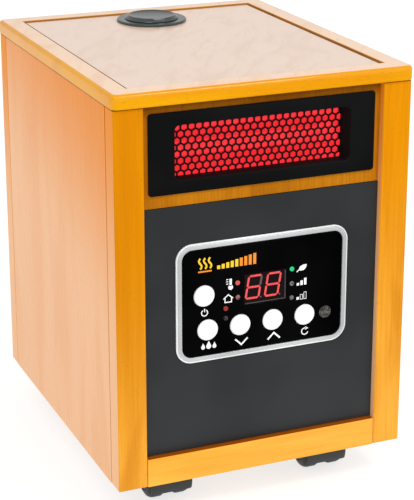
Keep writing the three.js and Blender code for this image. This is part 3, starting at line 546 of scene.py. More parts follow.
@dataclass(frozen=True)
class Lacquered(Finish):
    """Stained wood under lacquer, with fibres, pores and slow changes of tone.

    Attributes:
        tone: The wood's main colour.
        deep: Its darker colour, in the upper part and along the fibres.
        pale: Its lighter colour, in the lower part.
        grain: The way that the grain runs.
        facing: The colour of faces that look up, or None; on the tops a pale veneer tone with painted
            reflection of the bright room in it, on the rails painted shade.
        facing_from: Height above which those faces have it.
        flank: Colours, high up and low down, of faces that look sideways, or None.
        flank_fade: Heights at which those two are purest.
        fibres: Strength of the fine fibres.
        pores: Strength of the small dark pores.
        clouds: Strength of the slow patches.
        sheen: Roughness of the lacquer.
        gloss: Specular level of the lacquer.
        coat: Weight of the polished coat over it.
        fade: Heights at which the tone is deepest and palest.
        lean: How much the fade also runs towards +X and +Y.
        shade: Heights at which the shadow line under the top board starts and is full, or None.
    """

    tone: Colour
    deep: Colour
    pale: Colour
    grain: Grain
    facing: Colour | None = None
    facing_from: float = 0.0
    flank: tuple[Colour, Colour] | None = None
    flank_fade: tuple[float, float] = (0.40, 0.16)
    fibres: float = 0.3
    pores: float = 0.4
    clouds: float = 0.5
    sheen: float = 0.3
    gloss: float = 0.04
    coat: float = 0.0
    fade: tuple[float, float] = (0.30, 0.02)
    lean: Point = (0.25, 0.0)
    shade: tuple[float, float] | None = None

    def draw(self, sheet: Sheet) -> bpy.types.Material:
        """Draws the wood from fibres, pores and patches, and returns its material."""
        fibres = sheet.noise(self.grain.stretch(*FIBRE_CYCLES), detail=5, roughness=0.65)
        pores = sheet.noise(self.grain.stretch(*PORE_CYCLES), detail=3, roughness=0.6)
        clouds = sheet.noise(self.grain.stretch(*CLOUD_CYCLES), detail=3, swirl=0.6)
        height = sheet.axis(sheet.place, "Z")
        level = height
        for name, lean in zip("XY", self.lean):
            along = sheet.maths("MULTIPLY", sheet.axis(sheet.place, name), lean)
            level = sheet.maths("SUBTRACT", level, along)
        fade = sheet.band(level, *self.fade)
        body = sheet.mixed(fade, self.tone, self.pale)
        body = sheet.mixed(sheet.band(clouds, 0.42, 0.66), body, self.deep, self.clouds)
        body = sheet.mixed(sheet.band(fibres, 0.40, 0.70), body, self.deep, self.fibres)
        body = sheet.mixed(sheet.band(pores, 0.60, 0.72), body, dimmed(self.deep, 0.4), self.pores)
        if self.flank is not None:
            sideways = sheet.band(sheet.maths("ABSOLUTE", sheet.facing("X"), 0.0), *TURNED_SIDEWAYS)
            flank = sheet.mixed(sheet.band(height, *self.flank_fade), *self.flank)
            body = sheet.mixed(sideways, body, flank)
        # Upward faces take the facing colour: painted reflection on the tops, painted shade on the rails.
        if self.facing is not None:
            upward = sheet.band(sheet.facing("Z"), *TURNED_UP)
            above = sheet.band(height, self.facing_from - 1 * MM, self.facing_from)
            body = sheet.mixed(sheet.maths("MULTIPLY", upward, above), body, self.veneer(sheet))
        if self.shade is not None:
            body = sheet.mixed(sheet.band(height, *self.shade), body, dimmed(self.deep, 0.16), 0.9)
        sheet.coloured(body)
        sheet.roughened(fibres, self.sheen - 0.06, self.sheen + 0.08)
        sheet.embossed(fibres, 0.00005, 0.35)
        sheet.fixed(Specular_IOR_Level=self.gloss, Coat_Weight=self.coat, Coat_Roughness=0.12)
        return sheet.material

    def veneer(self, sheet: Sheet) -> bpy.types.NodeSocket:
        """Draws the wavy figure of the veneer on upward faces, over the facing colour and its painted light.

        Args:
            sheet: The node sheet to draw on.

        Returns:
            The upward faces' colour, with the painted light of the facing colour.
        """
        shade = tuple(c * f for c, f in zip(self.facing, (0.84, 0.76, 0.68)))
        waves = sheet.noise(Vector((34, 9, 1)), detail=4, roughness=0.6, swirl=1.6, turn_deg=32)
        flecks = sheet.noise(Vector((160, 26, 1)), detail=3, swirl=0.5, turn_deg=32)
        colour = sheet.mixed(sheet.band(waves, 0.45, 0.68), self.facing, shade, 0.45)
        return sheet.mixed(sheet.band(flecks, 0.60, 0.74), colour, shade, 0.5)


@dataclass(frozen=True)
class Moulded(Finish):
    """Moulded plastic or painted sheet with a fine even texture.

    Attributes:
        tone: Its colour.
        sheen: Roughness.
        texture: Depth of the moulded texture in metres.
        pitch: Cycles of the texture in a metre.
        gloss: Specular level.
        metal: How metallic it is.
    """

    tone: Colour
    sheen: float = 0.45
    texture: float = 0.00003
    pitch: float = 1600.0
    gloss: float = 0.4
    metal: float = 0.0

    def draw(self, sheet: Sheet) -> bpy.types.Material:
        """Draws the texture and a slight unevenness of tone, and returns the material."""
        pebbles = sheet.noise(even(self.pitch), detail=2)
        drift = sheet.noise(even(9), detail=2)
        lighter = tuple(min(1.0, c * 1.12 + 0.0015) for c in self.tone)
        darker = dimmed(self.tone, 0.88)
        body = sheet.mixed(sheet.band(drift, 0.35, 0.65), darker, lighter)
        sheet.coloured(sheet.mixed(sheet.band(pebbles, 0.55, 0.75), body, darker, 0.4))
        sheet.roughened(pebbles, self.sheen - 0.05, self.sheen + 0.05)
        sheet.embossed(pebbles, self.texture, 0.5)
        sheet.fixed(Specular_IOR_Level=self.gloss, Metallic=self.metal)
        return sheet.material


@dataclass(frozen=True)
class Speckled(Finish):
    """Frosted or smoked plastic that shows uneven light and dark specks.

    Attributes:
        light: Its lighter colour.
        dark: Its darker colour.
        pitch: Cycles of the specks in a metre.
    """

    light: Colour
    dark: Colour
    pitch: float = 900.0

    def draw(self, sheet: Sheet) -> bpy.types.Material:
        """Draws the specks and returns the material."""
        specks = sheet.noise(even(self.pitch), detail=3, roughness=0.7)
        sheet.coloured(sheet.mixed(sheet.band(specks, 0.42, 0.60), self.dark, self.light))
        sheet.embossed(specks, 0.0002, 0.5)
        sheet.fixed(Roughness=0.3, Specular_IOR_Level=0.35)
        return sheet.material


@dataclass(frozen=True)
class GlowingGuard(Finish):
    """A black guard whose hole walls glow with painted lamp light.

    Attributes:
        tone: The colour of its face.
        light: The colour of lamp light painted on the walls of its holes.
        strength: The strength of that painted light.
    """

    tone: Colour
    light: Colour
    strength: float = 0.45

    def draw(self, sheet: Sheet) -> bpy.types.Material:
        """Draws a black face and walls that glow with painted lamp light, and returns the material."""
        front = sheet.maths("ABSOLUTE", sheet.facing("Y"), 0.0)
        dust = sheet.noise(even(700), detail=2)
        # Walls that face sideways take the painted lamp glow.
        wall = sheet.band(front, 0.6, 0.4)
        sheet.coloured(sheet.mixed(dust, self.tone, tuple(1.6 * c + 0.002 for c in self.tone)))
        sheet.fixed(Emission_Color=self.light, Roughness=0.5, Specular_IOR_Level=0.15)
        sheet.link(sheet.maths("MULTIPLY", wall, self.strength), sheet.surface.inputs["Emission Strength"])
        return sheet.material


@dataclass(frozen=True)
class Brushed(Finish):
    """Bare or painted metal with fine brush marks.

    Attributes:
        tone: Its colour.
        grain: The way that the marks run.
        sheen: Roughness.
        metal: How metallic it is.
        glow: Colour of lamp light painted on it as a glow near the lamps, or None.
        glow_depths: The distances along Y at which the painted glow is full and gone.
    """

    tone: Colour
    grain: Grain = Grain.ACROSS
    sheen: float = 0.3
    metal: float = 0.9
    glow: Colour | None = None
    glow_depths: tuple[float, float] = (-0.09, -0.06)

    def draw(self, sheet: Sheet) -> bpy.types.Material:
        """Draws the brush marks, and the painted lamp glow where there is one, and returns the material."""
        marks = sheet.noise(self.grain.stretch(14, 1500), detail=4, roughness=0.6)
        stains = sheet.noise(even(30), detail=3)
        darker = dimmed(self.tone, 0.72)
        body = sheet.mixed(sheet.band(marks, 0.4, 0.7), self.tone, darker, 0.5)
        sheet.coloured(sheet.mixed(sheet.band(stains, 0.5, 0.7), body, darker, 0.25))
        sheet.roughened(marks, self.sheen - 0.08, self.sheen + 0.12)
        sheet.embossed(marks, 0.00003, 0.4)
        sheet.fixed(Metallic=self.metal)
        if self.glow is not None:
            full, gone = self.glow_depths
            near = sheet.band(sheet.axis(sheet.place, "Y"), gone, full)
            sheet.link(near, sheet.surface.inputs["Emission Strength"])
            sheet.fixed(Emission_Color=self.glow)
        return sheet.material


@dataclass(frozen=True)
class Lit(Finish):
    """Something that gives light: a lamp, a display segment or an indicator; the reflector uses it too, as
    painted lamp light.

    Attributes:
        tone: The colour of its body.
        light: The colour of its light.
        strength: The strength of its light.
        mottle: How much the light varies over it, from 0 to 1.
        pitch: Cycles of that variation in a metre.
    """

    tone: Colour
    light: Colour
    strength: float = 1.0
    mottle: float = 0.15
    pitch: float = 400.0

    def draw(self, sheet: Sheet) -> bpy.types.Material:
        """Draws the uneven light and returns the material."""
        cloud = sheet.noise(even(self.pitch), detail=1)
        dim = dimmed(self.light, 1 - self.mottle)
        glow = sheet.mixed(sheet.band(cloud, 0.35, 0.65), self.light, dim)
        sheet.link(glow, sheet.surface.inputs["Emission Color"])
        sheet.coloured(sheet.mixed(cloud, self.tone, dimmed(self.tone, 0.8)))
        sheet.fixed(Emission_Strength=self.strength, Roughness=0.25, Specular_IOR_Level=0.3)
        return sheet.material


@dataclass(frozen=True)
class Woven(Finish):
    """A plain woven net, its threads crossing in X and Z.

    Attributes:
        thread: The threads' colour.
        hole: The colour seen between the threads.
        pitch: Distance from thread to thread.
    """

    thread: Colour
    hole: Colour
    pitch: float = 0.0014

    def draw(self, sheet: Sheet) -> bpy.types.Material:
        """Draws the crossing threads, and returns the material."""
        turns = 2 * math.pi / self.pitch
        waves = []
        for name in ("X", "Z"):
            angle = sheet.maths("MULTIPLY", sheet.axis(sheet.place, name), turns)
            waves.append(sheet.maths("SINE", angle, 0.0))
        height = sheet.maths("MAXIMUM", *waves)
        sheet.coloured(sheet.mixed(sheet.band(height, 0.1, 0.7), self.hole, self.thread))
        sheet.embossed(height, 0.0003, 0.7)
        sheet.fixed(Roughness=0.75)
        return sheet.material


@dataclass(frozen=True)
class Etched(Finish):
    """A circuit board: solder mask over copper tracks.

    Attributes:
        mask: The mask's colour over bare board.
        track: Its colour over copper.
        mesh: How many rows of tracks lie in a metre.
        track_width: Share of a row that is track.
    """

    mask: Colour
    track: Colour
    mesh: float = 190.0
    track_width: float = 0.06

    def draw(self, sheet: Sheet) -> bpy.types.Material:
        """Draws the tracks and returns the material."""
        cells = sheet.tree.nodes.new("ShaderNodeTexBrick")
        cells.inputs["Scale"].default_value = 1.0
        cells.inputs["Mortar Size"].default_value = self.track_width
        cells.inputs["Color1"].default_value = (*self.mask, 1.0)
        cells.inputs["Color2"].default_value = (*dimmed(self.mask, 0.85), 1.0)
        cells.inputs["Mortar"].default_value = (*self.track, 1.0)
        sheet.link(sheet.stretched(even(self.mesh)), cells.inputs["Vector"])
        dust = sheet.noise(even(60), detail=3)
        sheet.coloured(sheet.mixed(sheet.band(dust, 0.5, 0.8), cells.outputs["Color"], self.mask, 0.5))
        sheet.embossed(cells.outputs["Fac"], 0.00004, 0.5)
        sheet.fixed(Roughness=0.35, Specular_IOR_Level=0.5)
        return sheet.material


# Red of the lamps' light; the guard's walls, the reflector and the heat chamber glow with it as painted lamp
# light.
HOT = srgb("F52C34")

POST_WOOD = Lacquered(
    "stained_wood_upright",
    tone=srgb("E08E00"),
    deep=srgb("C47200"),
    pale=srgb("F6AF40"),
    grain=Grain.UPRIGHT,
    flank=(srgb("E98B1C"), srgb("F0BA8B")),
    shade=(0.3826, 0.3834),
)
RAIL_WOOD = Lacquered(
    "stained_wood_across",
    tone=srgb("F3A020"),
    deep=srgb("E08A14"),
    pale=srgb("FFBE50"),
    grain=Grain.ACROSS,
    # The rails' top faces are painted dark brown: painted shade below the recessed fascia.
    facing=srgb("A04E06"),
    fibres=0.25,
    pores=0.12,
    clouds=0.3,
    fade=(0.16, 0.03),
)
TOP_WOOD = Lacquered(
    "stained_wood_top",
    tone=srgb("EAA400"),
    deep=srgb("DC8800"),
    pale=srgb("F9AC14"),
    grain=Grain.ACROSS,
    # The flat top is painted pale: partly the veneer's tone, partly painted reflection of the bright room.
    facing=srgb("F2CFB0"),
    facing_from=0.3964,
    coat=0.5,
)
REBATE_WOOD = Lacquered(
    "stained_wood_rebate",
    tone=srgb("C4884A"),
    deep=srgb("A86A30"),
    pale=srgb("C4884A"),
    grain=Grain.ACROSS,
)
STRIP_VENEER = Lacquered(
    "veneer_round_outlet",
    tone=srgb("C2790F"),
    deep=srgb("965204"),
    pale=srgb("CF8216"),
    grain=Grain.UPRIGHT,
    fibres=0.45,
    pores=0.5,
    shade=(0.368, 0.388),
)
SIDE_VENEER = Lacquered(
    "veneer_side",
    tone=srgb("E98B1C"),
    deep=srgb("E07F1E"),
    pale=srgb("F0BA8B"),
    grain=Grain.UPRIGHT,
    fibres=0.03,
    pores=0.03,
    clouds=0.18,
    sheen=0.26,
    gloss=0.06,
    fade=(0.43, 0.20),
    lean=(0.0, 0.3),
    shade=(0.3824, 0.3834),
)
TOP_VENEER = Lacquered(
    "veneer_top",
    tone=srgb("B06A28"),
    deep=srgb("8A4C18"),
    pale=srgb("B06A28"),
    grain=Grain.DEEP,
    # The panel's top is painted pale: partly the veneer's tone, partly painted reflection of the bright
    # room.
    facing=srgb("E9CCB6"),
    gloss=0.25,
    coat=0.6,
)
RAW_BOARD = Lacquered(
    "raw_board",
    tone=srgb("B08A5C"),
    deep=srgb("8C6A42"),
    pale=srgb("B8946A"),
    grain=Grain.DEEP,
    sheen=0.75,
    gloss=0.2,
)
BEZEL_BLACK = Moulded("bezel_black", srgb("0D0E0F"), sheen=0.5, gloss=0.08)
# The guard's hole walls glow with painted lamp light.
GUARD_PAINTED_GLOW = GlowingGuard("guard_black_painted_glow", srgb("0A0607"), HOT)
WORKS_BLACK = Moulded("works_black", srgb("1E2021"), sheen=0.5)
FASCIA_GREY = Moulded("fascia_grey", srgb("2C2E30"), sheen=0.5, texture=0.00001, pitch=900, gloss=0.26)
CASTER_GREY = Moulded("caster_grey", srgb("2B3132"), sheen=0.36)
TYRE_BLACK = Moulded("tyre_black", srgb("1A1D1D"), sheen=0.45, gloss=0.35)
CAP_GREY = Moulded("cap_grey", srgb("2B3533"), sheen=0.2, texture=0.00001, gloss=0.62)
SILVER = Moulded("silver_band", srgb("C6C9C9"), sheen=0.34, texture=0.00001, gloss=0.5, metal=0.2)
# The ring's lip is a lighter silver: a painted highlight along its outer edge.
SILVER_LIP_PAINTED_HIGHLIGHT = Moulded("silver_lip_painted_highlight", srgb("F0F2F2"), sheen=0.25, texture=0.000005, gloss=0.6)
GLOSS_BLACK = Moulded("gloss_black", srgb("030304"), sheen=0.1, texture=0.000002, gloss=0.15)
SMOKED = Moulded("smoked_window", srgb("1A1011"), sheen=0.12, texture=0.000002, gloss=0.3)
# Lighter strip on the display window's lower and right edges: painted highlight.
WINDOW_EDGE_PAINTED_HIGHLIGHT = Moulded("window_edge_painted_highlight", srgb("4A4644"), sheen=0.3, texture=0.000005, gloss=0.4)
BUTTON_WHITE = Moulded("button_white", srgb("F3F5F6"), sheen=0.35, texture=0.000005)
INK_WHITE = Moulded("white_ink", srgb("F2F4F4"), sheen=0.5, texture=0.000002)
INK_AMBER = Moulded("amber_ink", srgb("F7C51E"), sheen=0.5, texture=0.000002)
INK_ORANGE = Moulded("orange_ink", srgb("EE8A1C"), sheen=0.5, texture=0.000002)
CLEAR = Moulded("clear_moulding", srgb("A9B4AF"), sheen=0.2)
MOTOR_PAINT = Moulded("motor_paint", srgb("6D7276"), sheen=0.4, metal=0.5)
CERAMIC = Moulded("ceramic", srgb("E4DED0"), sheen=0.7, texture=0.00006, pitch=900)
DARK_EYE = Speckled("receiver_eye", srgb("6E6C66"), srgb("1A1918"), 850.0)
STEEL = Brushed("plated_steel", srgb("B4B7B8"))
ALUMINIUM = Brushed("aluminium_fins", srgb("C4C8CA"), Grain.UPRIGHT, sheen=0.4)
# The heat chamber glows red near the lamps: painted lamp light.
STEEL_PAINTED_GLOW = Brushed("steel_painted_lamp_glow", srgb("3A3C3D"), glow=HOT)
# The reflector glows though it is no lamp: painted lamp light.
REFLECTOR_PAINTED_GLOW = Lit("reflector_painted_glow", srgb("200405"), HOT, mottle=0.05, pitch=60)
LAMP = Lit("glowing_quartz", srgb("300505"), srgb("FF3A40"), mottle=0.08, pitch=90)
SEGMENT_ON = Lit("segment_lit", srgb("601010"), srgb("FF6264"), mottle=0.25, pitch=700)
SEGMENT_OFF = Moulded("segment_dark", srgb("5A4F4D"), sheen=0.5)
LED_RED = Lit("led_red", srgb("601818"), srgb("EE6A64"), mottle=0.5, pitch=900)
LED_DIM_RED = Lit("led_dim_red", srgb("3A1412"), srgb("B03C32"), mottle=0.5, pitch=900)
LED_GREEN = Lit("led_green", srgb("0A4A2A"), srgb("28E08A"), mottle=0.25, pitch=900)
LED_ROSE = Speckled("led_rose", srgb("A87874"), srgb("5A3634"), 1300.0)
LED_GREY = Speckled("led_grey", srgb("8A8B86"), srgb("3C3D3B"), 1300.0)
LED_DARK = Speckled("led_dark", srgb("4A4644"), srgb("1E1A19"), 1300.0)
NET = Woven("filter_net", srgb("2B2E30"), srgb("0C0D0E"))
CIRCUIT = Etched("circuit_board", srgb("1D5B34"), srgb("2F7A46"))


# ---------------------------------------------------------------- dressing


@dataclass
class Assembly:
    """A sub-assembly that dresses CAD nodes and adds pieces of its own."""

    title: str = "assembly"

    def dress(self, node: str, finish: Finish, arris: float = 0.0) -> bpy.types.Object:
        """Gives a CAD node its finish, and may round its arrises.

        Args:
            node: The node's name.
            finish: The finish of the whole node.
            arris: Radius of the rounded arrises, or 0 to leave them sharp.

        Returns:
            The node's object.
        """
        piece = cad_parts[node]
        for slot in piece.material_slots:
            slot.material = finish.material()
        if arris:
            weld = piece.modifiers.new("weld", "WELD")
            weld.merge_threshold = 0.01 * MM
            rounding = piece.modifiers.new("arris", "BEVEL")
            rounding.width = arris
            rounding.segments = 3
            rounding.limit_method = "ANGLE"
            rounding.angle_limit = math.radians(40)
            shading = piece.modifiers.new("shading", "WEIGHTED_NORMAL")
            shading.weight = 80
        LOG.info("%s: dressed %s in %s", self.title, node, finish.name)
        return piece

    def add(
        self,
        piece: bpy.types.Object,
        body: str,
        finish: Finish,
        slot: str,
        stands_for: Sequence[str] = (),
    ) -> bpy.types.Object:
        """Finishes a new piece and lets it ride.

        Args:
            piece: The new object, in place.
            body: The CAD body that it moves with.
            finish: Its finish.
            slot: The record's material slot; not used.
            stands_for: The CAD nodes that it replaces.

        Returns:
            The same object.
        """
        piece.data.materials.clear()
        piece.data.materials.append(finish.material())
        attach(piece, body)
        if stands_for:
            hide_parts(*stands_for)
        LOG.info("%s: added %s on %s in %s", self.title, piece.name, body, finish.name)
        return piece


def middle(node: str) -> Vector:
    """Returns the middle of a CAD node's box."""
    low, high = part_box(node)
    return (low + high) / 2


@dataclass
class Cabinet(Assembly):
    """The wooden case: stiles, rails, side panels, and the top board with its inset panel.

    Attributes:
        arris: Radius of the boards' rounded arrises.
        round_over: Radius of the top board's upper edge.
        corner: Corner radius of the top board in plan.
        hem: Radius of the top board's lower edge.
        groove: Width of the open groove round the inset panel.
        ledge: Width of the rebate that carries the panel.
    """

    title: str = "cabinet"
    arris: float = 1.4 * MM
    round_over: float = 4 * MM
    corner: float = 7 * MM
    hem: float = 0.8 * MM
    groove: float = 2.6 * MM
    ledge: float = 5 * MM

    def build(self) -> None:
        """Dresses the boards and builds the top board."""
        for end in ("front", "rear"):
            for side in ("left", "right"):
                self.dress(f"{end}_{side}_stile", POST_WOOD, self.arris)
            self.dress(f"{end}_bottom_rail", RAIL_WOOD, 0.5 * MM)
        for side in ("left", "right"):
            self.dress(f"{side}_side_panel", SIDE_VENEER, 0.4 * MM)
        self.dress("top_panel", TOP_VENEER, 0.3 * MM)
        self.dress("base_board", RAW_BOARD, 0.5 * MM)
        self.top_board()

    def top_board(self) -> bpy.types.Object:
        """Builds the top board as one frame with a round-over and a rebate for the panel.

        Returns:
            The board.
        """
        low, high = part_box("top_frame")
        inset_low, inset_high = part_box("top_panel")
        width, depth = high.x - low.x, high.y - low.y
        hole_width = inset_high.x - inset_low.x + 2 * self.groove
        hole_depth = inset_high.y - inset_low.y + 2 * self.groove
        seat = inset_low.z - 0.3 * MM

        def ring(inset: float, height: float, radius: float) -> Section:
            """Returns a section of the board's outside, drawn in by an inset."""
            return Section(rounded_box(width - 2 * inset, depth - 2 * inset, radius), height)

        def well(inset: float, height: float) -> Section:
            """Returns a section of the opening, narrowed by an inset."""
            return Section(rounded_box(hole_width - 2 * inset, hole_depth - 2 * inset, 0.4 * MM), height)

        steps = 6
        sections = [ring(self.hem, low.z, self.corner - self.hem), ring(0, low.z + self.hem, self.corner)]
        for i in range(steps + 1):
            turn = i / steps * math.pi / 2
            inset = self.round_over * (1 - math.cos(turn))
            rise = high.z - self.round_over * (1 - math.sin(turn))
            sections.append(ring(inset, rise, self.corner - inset))
        sections += [well(-0.4 * MM, high.z), well(0, high.z - 0.4 * MM), well(0, seat)]
        sections += [well(self.ledge, seat), well(self.ledge, low.z)]
        board = loft("top_board", sections, Drawn.PLAN, Vector((0, 0, 0)), hollow=True)
        self.add(board, "cabinet", TOP_WOOD, "frame_wood", ["top_frame"])
        board.data.materials.append(REBATE_WOOD.material())
        reach = 0.1 * MM
        for face in board.data.polygons:
            x, y, z = face.center
            inside = abs(x) < hole_width / 2 + reach and abs(y) < hole_depth / 2 + reach
            face.material_index = int(inside and z < high.z - reach)
        return board


# ---------------------------------------------------------------- outlet


@dataclass
class Outlet(Assembly):
    """The warm-air outlet: veneered surround, bezel, hexagonal guard and what glows behind it: the lamps,
    and the guard walls, reflector and chamber with painted lamp light.

    Attributes:
        flange: Thickness of the bezel's flange.
        flange_radius: Corner radius of the flange.
        lip: Radius of the bezel's front arrises.
        window: Width and height of the window.
        window_radius: Its corner radius at the face.
        ledge_radius: Its corner radius at the guard.
        taper: How much each side of the window narrows towards the guard.
        window_depth: Depth from the flange's face to the guard's ledge.
        duct: Width and height of the duct behind the flange.
        pocket: Width and height of the pocket that holds the guard.
    """

    title: str = "outlet"
    flange: float = 1.7 * MM
    flange_radius: float = 3 * MM
    lip: float = 0.7 * MM
    window: Point = (166 * MM, 48.5 * MM)
    window_radius: float = 5 * MM
    ledge_radius: float = 0.8 * MM
    taper: float = 3 * MM
    window_depth: float = 14 * MM
    duct: Point = (175 * MM, 59 * MM)
    pocket: Point = (170 * MM, 55 * MM)

    def build(self) -> None:
        """Dresses the surround and the guard, and builds the bezel."""
        self.dress("upper_front_panel", STRIP_VENEER, 0.5 * MM)
        self.dress("outlet_grille", GUARD_PAINTED_GLOW)
        self.dress("lamp_reflector", REFLECTOR_PAINTED_GLOW)
        for level in ("lower", "upper"):
            self.dress(f"quartz_lamp_{level}", LAMP)
        self.dress("heat_chamber", STEEL_PAINTED_GLOW)
        self.bezel()

    def bezel(self) -> bpy.types.Object:
        """Builds the flange, the narrowing window and the duct as one skin.

        Returns:
            The bezel.
        """
        low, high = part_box("outlet_bezel")
        face, back = low.y, high.y
        width, height = high.x - low.x, high.z - low.z
        centre = Vector((0, 0, (low.z + high.z) / 2))
        shoulder = face + self.flange
        ledge = face + self.window_depth
        lip = self.lip
        sections = [Section(rounded_box(width, height, self.flange_radius), shoulder)]
        for i in range(4):
            turn = i / 3 * math.pi / 2
            inset = lip * (1 - math.cos(turn))
            sections.append(Section(
                rounded_box(width - 2 * inset, height - 2 * inset, self.flange_radius - inset),
                face + lip * (1 - math.sin(turn)),
            ))
        for i in range(4):
            turn = i / 3 * math.pi / 2
            spread = lip * (1 - math.sin(turn))
            sections.append(Section(
                rounded_box(*[size + 2 * spread for size in self.window], self.window_radius + spread),
                face + lip * (1 - math.cos(turn)),
            ))
        sections += [
            Section(rounded_box(self.window[0] - 2 * self.taper, self.window[1], self.ledge_radius), ledge),
            Section(rounded_box(*self.pocket, 1 * MM), ledge),
            Section(rounded_box(*self.pocket, 1 * MM), back),
            Section(rounded_box(*self.duct, 1 * MM), back),
            Section(rounded_box(*self.duct, 1 * MM), shoulder),
        ]
        bezel = loft("outlet_bezel_moulding", sections, Drawn.FRONT, centre, hollow=True)
        return self.add(bezel, "cabinet", BEZEL_BLACK, "black_plastic", ["outlet_bezel"])


# ---------------------------------------------------------------- controls


@dataclass
class Indicator:
    """One indicator light: its name, its place on the module in millimetres, and its finish."""

    name: str
    place_mm: Point
    finish: Finish


@dataclass
class Marks:
    """The printed marks of the module, drawn in millimetres about their own middles.

    Attributes:
        line: Width of a printed line.
    """

    line: float = 0.95

    def power(self) -> list[Outline]:
        """Returns a ring open at the top, with an upright bar in the opening."""
        return [ribbon(arc(2.9, 125, 415), self.line), ribbon([(0, 0.7), (0, 3.9)], self.line)]

    def drops(self) -> list[Outline]:
        """Returns three water drops, the middle one larger."""
        shapes = []
        for x, z, size in ((-5.4, -0.5, 3.0), (0, 0, 3.9), (5.4, -0.5, 3.0)):
            belly = arc(size * 0.62, -215, 35)
            shapes.append(shifted([*belly, (0, size * 1.35)], x, z))
        return shapes

    def chevron(self, way: int) -> list[Outline]:
        """Returns a chevron that points up (way 1) or down (way -1)."""
        return [ribbon([(-6.0, -way * 2.9), (0, way * 2.9), (6.0, -way * 2.9)], 1.5)]

    def cycle(self) -> list[Outline]:
        """Returns a round arrow, for going on to the next mode."""
        return [ribbon(arc(3.1, 60, 345), self.line), [(0.4, 4.6), (0.4, 1.2), (3.6, 2.6)]]

    def thermometer(self) -> list[Outline]:
        """Returns an upright thermometer with its marks, for the set temperature."""
        ticks = [ribbon([(-4.2, z), (-2.2, z)], 0.8) for z in (0.6, 2.7, 4.8)]
        return [shifted(round_outline(2.3, 24), 0, -2.9), ribbon([(0, -1.6), (0, 5.2)], 2.2), *ticks]

    def house(self) -> list[Outline]:
        """Returns a house, for the room's temperature."""
        roof = ribbon([(-4.6, 0.2), (0, 3.9), (4.6, 0.2)], self.line)
        walls = ribbon([(-3.1, 0.8), (-3.1, -3.1), (3.1, -3.1), (3.1, 0.8)], self.line)
        return [roof, walls]

    def leaf(self) -> list[Outline]:
        """Returns a leaf, for the saving mode."""
        blade = [(-3.8, -1.8), (-2.4, 1.4), (0.7, 2.7), (4.2, 2.8), (3.6, -0.2), (1.4, -2.5), (-1.8, -2.8)]
        return [blade, ribbon([(-5.6, -3.5), (-3.4, -1.8)], self.line)]

    def bars(self, count: int) -> list[Outline]:
        """Returns rising bars for a heat setting, as many of three filled in as count says."""
        shapes = []
        foot, width, pitch = -3.2, 2.4, 3.6
        for i in range(3):
            left, top = pitch * i - 4.8, 2.0 * i - 0.8
            right = left + width
            bar = [(left, foot), (right, foot), (right, top), (left, top)]
            shapes.append(bar if i < count else ribbon([bar[-1], *bar], 0.45))
        return shapes

    def heat_wave(self, height: float) -> list[Outline]:
        """Returns one wavy line of rising heat."""
        steps, sway, width = 14, 1.3, 1.7
        line = []
        for i in range(steps + 1):
            line.append((sway * math.sin(2 * math.pi * i / steps), height * (i / steps - 0.5)))
        return [ribbon(line, width)]


